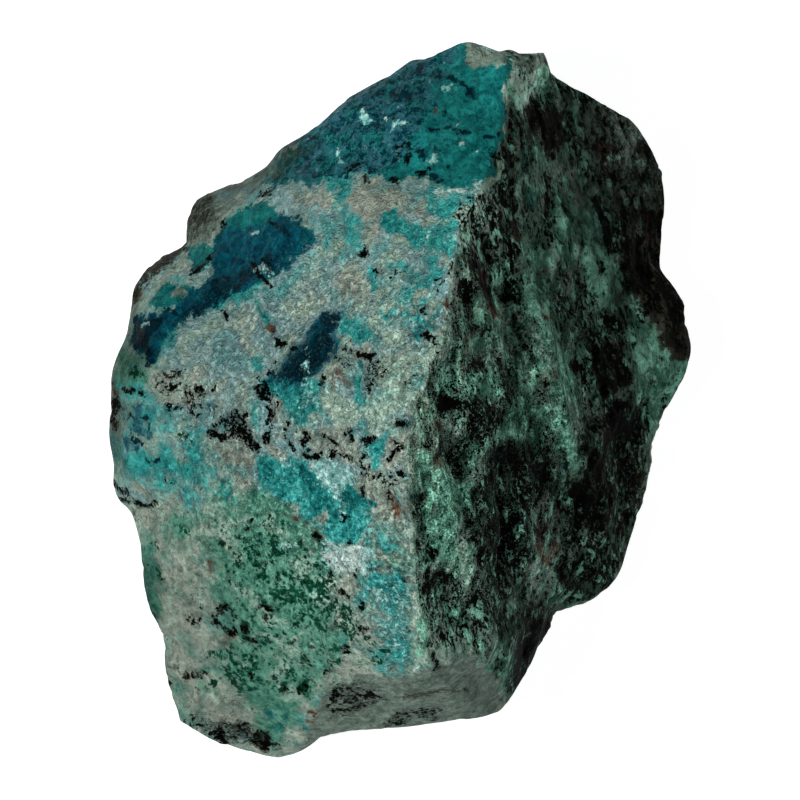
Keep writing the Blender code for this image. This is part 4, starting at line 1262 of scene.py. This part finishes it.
# %% [markdown]
# ## Grit and hollows
# Not all of the stone is equally gritty. The middle of the face is speckled hard and fine, and the
# speckle softens towards the rim, so the grit is worked out from the distance to the middle. Noise
# could do it, but not in the right place. The hollows of the relief gather oxide, as crevices gather
# dirt. The Pointiness of a Geometry node would find them too, but it changes with how fine the mesh
# is, and we know the relief already.

# %% Fields of the surface
# The middle of the grit on the plan, and the distances from it over which it fades, in mm.
GRITTY = (-0.5, -4.0)
GRIT_FADE = (12, 29)
GRIT_ON_FLANK = 0.5
from_middle = np.hypot(spots[:, 0] - GRITTY[0], spots[:, 1] - GRITTY[1])
grit_on_top = 1 - ramp(from_middle, *GRIT_FADE)
write_field("grit", np.maximum(grit_on_top, GRIT_ON_FLANK * under))
write_field("hollow", np.clip(0.5 - 1.2 * relief, 0, 1))
write_field("right", right * (1 - under))
print("mean grit on top:", round(float(np.mean(grit_on_top)), 2))

# %% [markdown]
# ## A material with a small grammar
# One material does for the whole stone, as its minerals grow into each other. Its nodes could be laid
# out by hand in the shader editor, but a long sum is hard to follow there. A shader is arithmetic on
# sockets, so one class wraps a socket and sums are written as sums. One function adds any other node:
# its kind, its settings, then what goes in its sockets.

# %% Values and nodes
stuff = bpy.data.materials.new("mineral_rock")
stuff.use_nodes = True
sheet = stuff.node_tree
shader = sheet.nodes["Principled BSDF"]


class Value:
    """The outlet of a node. Arithmetic on it adds the nodes that work it out."""

    def __init__(self, socket):
        self.socket = socket

    def __add__(self, other):
        return reckon("ADD", self, other)

    def __radd__(self, other):
        return reckon("ADD", other, self)

    def __sub__(self, other):
        return reckon("SUBTRACT", self, other)

    def __rsub__(self, other):
        return reckon("SUBTRACT", other, self)

    def __mul__(self, other):
        return reckon("MULTIPLY", self, other)

    def __rmul__(self, other):
        return reckon("MULTIPLY", other, self)


def node(kind, settings, inputs, outlet=0):
    """Add a node and return one of its outlets."""
    made = sheet.nodes.new(kind)
    for name, value in settings.items():
        setattr(made, name, value)
    for name, value in inputs.items():
        if isinstance(value, Value):
            sheet.links.new(value.socket, made.inputs[name])
        else:
            made.inputs[name].default_value = value
    return Value(made.outputs[outlet])


def reckon(operation, a, b=0.0):
    """The result of a Math node."""
    return node("ShaderNodeMath", {"operation": operation}, {0: a, 1: b})


print("a material named", stuff.name)

# %% [markdown]
# ## Places in the rock
# A pattern needs a place to be worked out from. Unwrapping the stone would cut it along seams, so we
# use its own three coordinates and the patterns run through it as they do in rock. The fibres of the
# right face run down it. There the place is squeezed along them, which draws a pattern out, and one
# field of the skin says which of the two places a point takes.

# %% Places
ALONG_RIBS = tuple(DOWN_FACE)
RIB_SQUEEZE = 0.48


def read(name):
    """A field that was written on the skin."""
    return node("ShaderNodeAttribute", {"attribute_name": name}, {}, "Fac")


def steer(operation, inputs, outlet=0):
    """The result of a Vector Math node."""
    return node("ShaderNodeVectorMath", {"operation": operation}, inputs, outlet)


def blend(share, below, above, way="MIX"):
    """One colour or place over another, by a share of 0 to 1."""
    settings = {"data_type": "RGBA", "blend_type": way}
    return node("ShaderNodeMix", settings, {0: share, 6: below, 7: above}, 2)


place = node("ShaderNodeTexCoord", {}, {}, "Object")
along = steer("DOT_PRODUCT", {0: place, 1: ALONG_RIBS}, "Value")
squeeze = steer("SCALE", {0: ALONG_RIBS, "Scale": along * RIB_SQUEEZE})
ribbed_place = steer("SUBTRACT", {0: place, 1: squeeze})
is_right = read("right")
grain_place = blend(is_right, place, ribbed_place)
print("a fibre is", round(1 / (1 - RIB_SQUEEZE), 1), "times as long as a lump")

# %% [markdown]
# ## Clouds and splinters
# The edges of the patches, their tints and the dust are all soft noise of some size. Each mineral
# could have noise of its own, but a few sizes are enough, and the minerals share them, because in
# rock what makes one mineral stop is what makes the next begin. The place is in metres, so a size in
# mm turns into a scale of 1000 over it.

# %% Soft noise
def clouds(size, detail, rough, twist=0.0, where=place):
    """Noise of a given size in mm, 0 to 1."""
    inputs = {"Vector": where, "Scale": 1000 / size, "Detail": detail, "Roughness": rough}
    inputs["Distortion"] = twist
    return node("ShaderNodeTexNoise", {}, inputs)


broad = clouds(2.8, 4, 0.55, twist=0.4)
middle = clouds(1.1, 3, 0.65, twist=0.3)
small = clouds(0.5, 2, 0.75)
ribs = clouds(1.2, 3, 0.6, where=ribbed_place)
small_ribs = clouds(0.38, 3, 0.75, where=ribbed_place)
dust = blend(is_right, clouds(0.34, 2, 0.75, twist=1.6), clouds(0.21, 1, 0.6))
grains = blend(is_right, small, small_ribs)
lumps_of = blend(is_right, middle, ribs)
print("noise nodes:", len([made for made in sheet.nodes if made.type == "TEX_NOISE"]))

# %% [markdown]
# ## Grains and scales
# Crystal grains each have a shade of their own. Soft noise has no edges, so they are the cells of a
# Voronoi texture, read by their colour. The pale crust is cracked into small curled scales. They are
# cells too, read by the distance to their edge, and bent by the clouds so that no edge is straight.
# They are part bump and part dark gaps, and in places the gaps have healed.

# %% Cells
GRAIN_SIZE = 0.62
SCALE_SIZE = 0.85


def step(value, low, high):
    """0 below low, 1 above high, smooth between."""
    settings = {"interpolation_type": "SMOOTHSTEP"}
    return node("ShaderNodeMapRange", settings, {"Value": value, "From Min": low, "From Max": high})


flake = {"Vector": grain_place, "Scale": 1000 / GRAIN_SIZE}
flake = node("ShaderNodeTexVoronoi", {}, flake, "Color")
flake = node("ShaderNodeSeparateColor", {}, {"Color": flake}, "Red")
bend = (middle - 0.5) * (1.6 * MM) + (small - 0.5) * (0.6 * MM)
from_edge = {"Vector": steer("ADD", {0: place, 1: bend}), "Scale": 1000 / SCALE_SIZE}
from_edge = node("ShaderNodeTexVoronoi", {"feature": "DISTANCE_TO_EDGE"}, from_edge, "Distance")
scaly = step(read("sky") + read("ice_and_highlight"), 0.3, 0.9) * (1 - is_right)
scales = step(from_edge, 0.0, 0.22) * scaly
gaps = (1 - step(from_edge, 0.0, 0.10)) * step(small, 0.42, 0.56) * scaly
print("grains of", GRAIN_SIZE, "mm and scales of", SCALE_SIZE, "mm")

# %% [markdown]
# ## The bare rock's colour
# The rock shows between the minerals, blue green under the crust and grey green on the right face.
# One flat colour would do where so little of it is seen, but each has a dark and a light tint, mixed
# by two patterns at once. The sum of two noises keeps near its middle, so it is spread again.

# %% Rock
def mean(a, b, share=0.5):
    """Part of one pattern and part of another, spread so that they still use their range."""
    return (a - 0.5) * (1.35 - 1.35 * share) + (b - 0.5) * (1.35 * share) + 0.5


def tint(red, green, blue):
    """A colour named by its screen values, 0 to 255, as the linear light a shader wants."""
    parts = [v / 255 for v in (red, green, blue)]
    return tuple(v / 12.92 if v < 0.04045 else ((v + 0.055) / 1.055) ** 2.4 for v in parts) + (1,)


rock = blend(step(mean(middle, small), 0.3, 0.7), tint(104, 138, 126), tint(142, 166, 154))
right_rock = blend(step(mean(ribs, small_ribs), 0.32, 0.68), tint(72, 100, 83), tint(178, 208, 185))
colour = blend(is_right, rock, right_rock)
print("the darkest rock, as light:", [round(part, 3) for part in tint(72, 100, 83)[:3]])

# %% [markdown]
# ## The minerals' colours
# The minerals go over the rock one by one: the pale crust and the tinted rock first, then the blues
# from turquoise to navy, then ice and white, and last the greys, browns and rust that sit on top. To
# blend each by its field would be simple, and it would look like water colour. Real crusts are all
# there or not at all. So a field is pushed up and down by a pattern and cut at a half, which turns
# a soft amount into flecks, many where there is much of the mineral and few where there is little.

# %% Layers of colour
def cover(amount, pattern, ragged, soft):
    """Where a mineral is: its amount, pushed up and down by a pattern, over a half."""
    pushed = (pattern - 0.5) * ragged * step(amount, 0.0, 0.3)
    return step(amount + pushed, 0.5 - soft, 0.5 + soft)


# Each mineral, its pattern, how ragged and how soft its edges are, its dark and its light tint.
LAYERS = [
    ("sky", mean(broad, middle, 0.15), 1.7, 0.26, tint(112, 150, 150), tint(146, 176, 176)),
    ("buff", mean(1 - broad, middle, 0.2), 1.7, 0.24, tint(128, 139, 128), tint(162, 171, 158)),
    ("green", mean(broad, middle, 0.3), 1.6, 0.30, tint(50, 110, 92), tint(92, 148, 128)),
    ("palegreen", mean(1 - broad, 1 - middle, 0.3), 1.7, 0.24, tint(138, 170, 154), tint(180, 208, 190)),
    ("mint", mean(ribs, 1 - broad, 0.3), 1.7, 0.22, tint(70, 130, 108), tint(140, 206, 180)),
    ("turq", mean(broad, middle, 0.4), 1.6, 0.28, tint(14, 120, 120), tint(66, 166, 160)),
    ("teal", mean(1 - middle, small), 1.3, 0.10, tint(6, 86, 88), tint(28, 126, 122)),
    ("slate", mean(1 - middle, broad), 2.0, 0.14, tint(20, 76, 90), tint(58, 112, 120)),
    ("deep", mean(broad, small), 1.6, 0.18, tint(0, 52, 70), tint(0, 88, 102)),
    ("navy", mean(middle, small), 1.8, 0.16, tint(0, 16, 24), tint(0, 42, 54)),
    ("ice_and_highlight", mean(1 - middle, small), 1.8, 0.20, tint(108, 176, 172), tint(172, 214, 208)),
    ("white_and_glint", mean(1 - small, middle), 2.0, 0.12, tint(164, 196, 190), tint(202, 224, 216)),
    ("grey", mean(broad, middle), 1.8, 0.18, tint(90, 108, 98), tint(120, 138, 126)),
    ("brown_and_painted_shade", mean(1 - broad, 1 - small), 1.8, 0.20, tint(34, 34, 28), tint(72, 72, 62)),
    ("malachite", mean(1 - small, 1 - middle), 2.0, 0.12, tint(4, 54, 38), tint(18, 88, 64)),
    ("rust", mean(small, 1 - broad), 1.8, 0.24, tint(56, 38, 30), tint(104, 74, 54)),
]
for mineral, pattern, ragged, soft, dark, light in LAYERS:
    own = blend(step(mean(lumps_of, flake, 0.2), 0.2, 0.8), dark, light)
    colour = blend(cover(read(mineral), pattern, ragged, soft), colour, own)
print("layers of mineral:", len(LAYERS))

# %% [markdown]
# ## Light and dark in the grain
# Rock is never one tone. Dust, grains and lumps each lighten and darken it a little, more so where
# there is grit, and thin lines in the bump's creases are darkened as painted shade. The painted shade
# makes its parts dark and the painted light makes its parts bright, and here and there a grain gets a
# painted glint, as if it caught the light. This could be left to the lamps and the relief, but detail
# this fine is below what a mesh of this size can hold.

# %% Tone
# No grain is darker than this share of its mineral's colour, before the painted shade.
DARKEST = 0.2
PAINTED_SHADE_DEPTH = 0.75
GLINT = tint(196, 220, 212)
grit_of = read("grit")


def off_middle(pattern):
    """How far a pattern is from its middle value: thin lines where that is small."""
    return reckon("ABSOLUTE", pattern - 0.5)


dusty = (dust - 0.5) * (0.4 + grit_of * (1.8 + is_right * 1.6))
grainy = (grains - 0.5) * (0.6 + grit_of * 2.0)
lumpy = (lumps_of - 0.5) * (0.45 + is_right * 0.65) + (flake - 0.5) * 0.15
# Thin dark lines in the bump's creases: painted shade.
painted_crease_shade = (1 - step(off_middle(grains), 0.0, 0.04)) * grit_of * 0.3
tone = 1 + dusty + grainy + lumpy - painted_crease_shade + scaly * 0.14 - gaps * 0.32
# Painted shade darkens the tone and painted light brightens it, where the map puts them.
tone = reckon("MAXIMUM", tone, DARKEST) * (1 - read("painted_shade") * PAINTED_SHADE_DEPTH) * (1 + read("painted_light"))
colour = blend(1.0, colour, tone, "MULTIPLY")
# A painted glint: where dust and grains are brightest the colour turns pale, as if a grain caught the
# light.
spark = step(dust + grains, 1.14, 1.28) * grit_of * (1 - read("navy")) * (0.25 + is_right * 0.2)
colour = blend(spark, colour, GLINT)
print("nodes so far:", len(sheet.nodes))

# %% [markdown]
# ## The black over all
# The oxide grew last, so it lies over everything. It could be one more layer of colour, but its edges
# are its own: on the crust it branches, and on the right face it gathers in the hollows. Where there
# is grit its flecks are crisp, and elsewhere they fade into the rock.

# %% Black flecks
OXIDE_BLACK = tint(3, 4, 2)
branches = 0.84 - off_middle(lumps_of) * 4
flecks = mean(mean(grains, branches, 0.22), dust, 0.10 + grit_of * 0.42)
amount = read("oxide") + (read("hollow") - 0.5) * is_right * 0.4
black = cover(amount, flecks, 2.4 + is_right * 0.9, 0.34 - grit_of * 0.30)
colour = blend(black, colour, OXIDE_BLACK)
print("the oxide, as light:", [round(part, 4) for part in OXIDE_BLACK[:3]])

# %% [markdown]
# ## Finish
# Chrysocolla has a dull waxy shine, and the rock none. The finest grain is thinner than the faces of
# the skin, so it can't be moved points. It is a bump, which only bends the light. The relief already
# carries what is larger.

# %% Shine and bump
ROCK_ROUGHNESS = 0.72
WAX_SMOOTHS = 0.22
BUMP_HEIGHT = 0.6 * MM
SHEEN = 0.02
waxy = step(read("teal"), 0.4, 0.9)
roughness = ROCK_ROUGHNESS - waxy * WAX_SMOOTHS + (small - 0.5) * 0.3
creases = off_middle(grains) * 4
height = grains * 0.8 + lumps_of * 0.8 - creases * 0.25
height = height * (0.6 + is_right * 0.4 + grit_of * 0.3) + scales * 0.3
bump = {"Strength": 1.0, "Distance": BUMP_HEIGHT, "Height": height}
bump = node("ShaderNodeBump", {}, bump, "Normal")
sheet.links.new(colour.socket, shader.inputs["Base Color"])
sheet.links.new(roughness.socket, shader.inputs["Roughness"])
sheet.links.new(bump.socket, shader.inputs["Normal"])
shader.inputs["Specular IOR Level"].default_value = SHEEN
print("nodes in the material:", len(sheet.nodes))

# %% [markdown]
# ## Joining the solid's place
# The skin stands for the solid, which stays unseen and serves for collisions. The solid could be
# dressed itself, but then a change of looks would change its shape. The skin rides the stone's one
# body, so it goes where the solid goes.

# %% The stone
stone_skin = bpy.data.objects.new("stone_skin", skin)
bpy.context.scene.collection.objects.link(stone_skin)
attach(stone_skin, "root")
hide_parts("stone")
for face in skin.polygons:
    face.use_smooth = True
skin.materials.clear()
skin.materials.append(stuff)
print("the skin is", stone_skin.name, "with", len(skin.materials), "material")
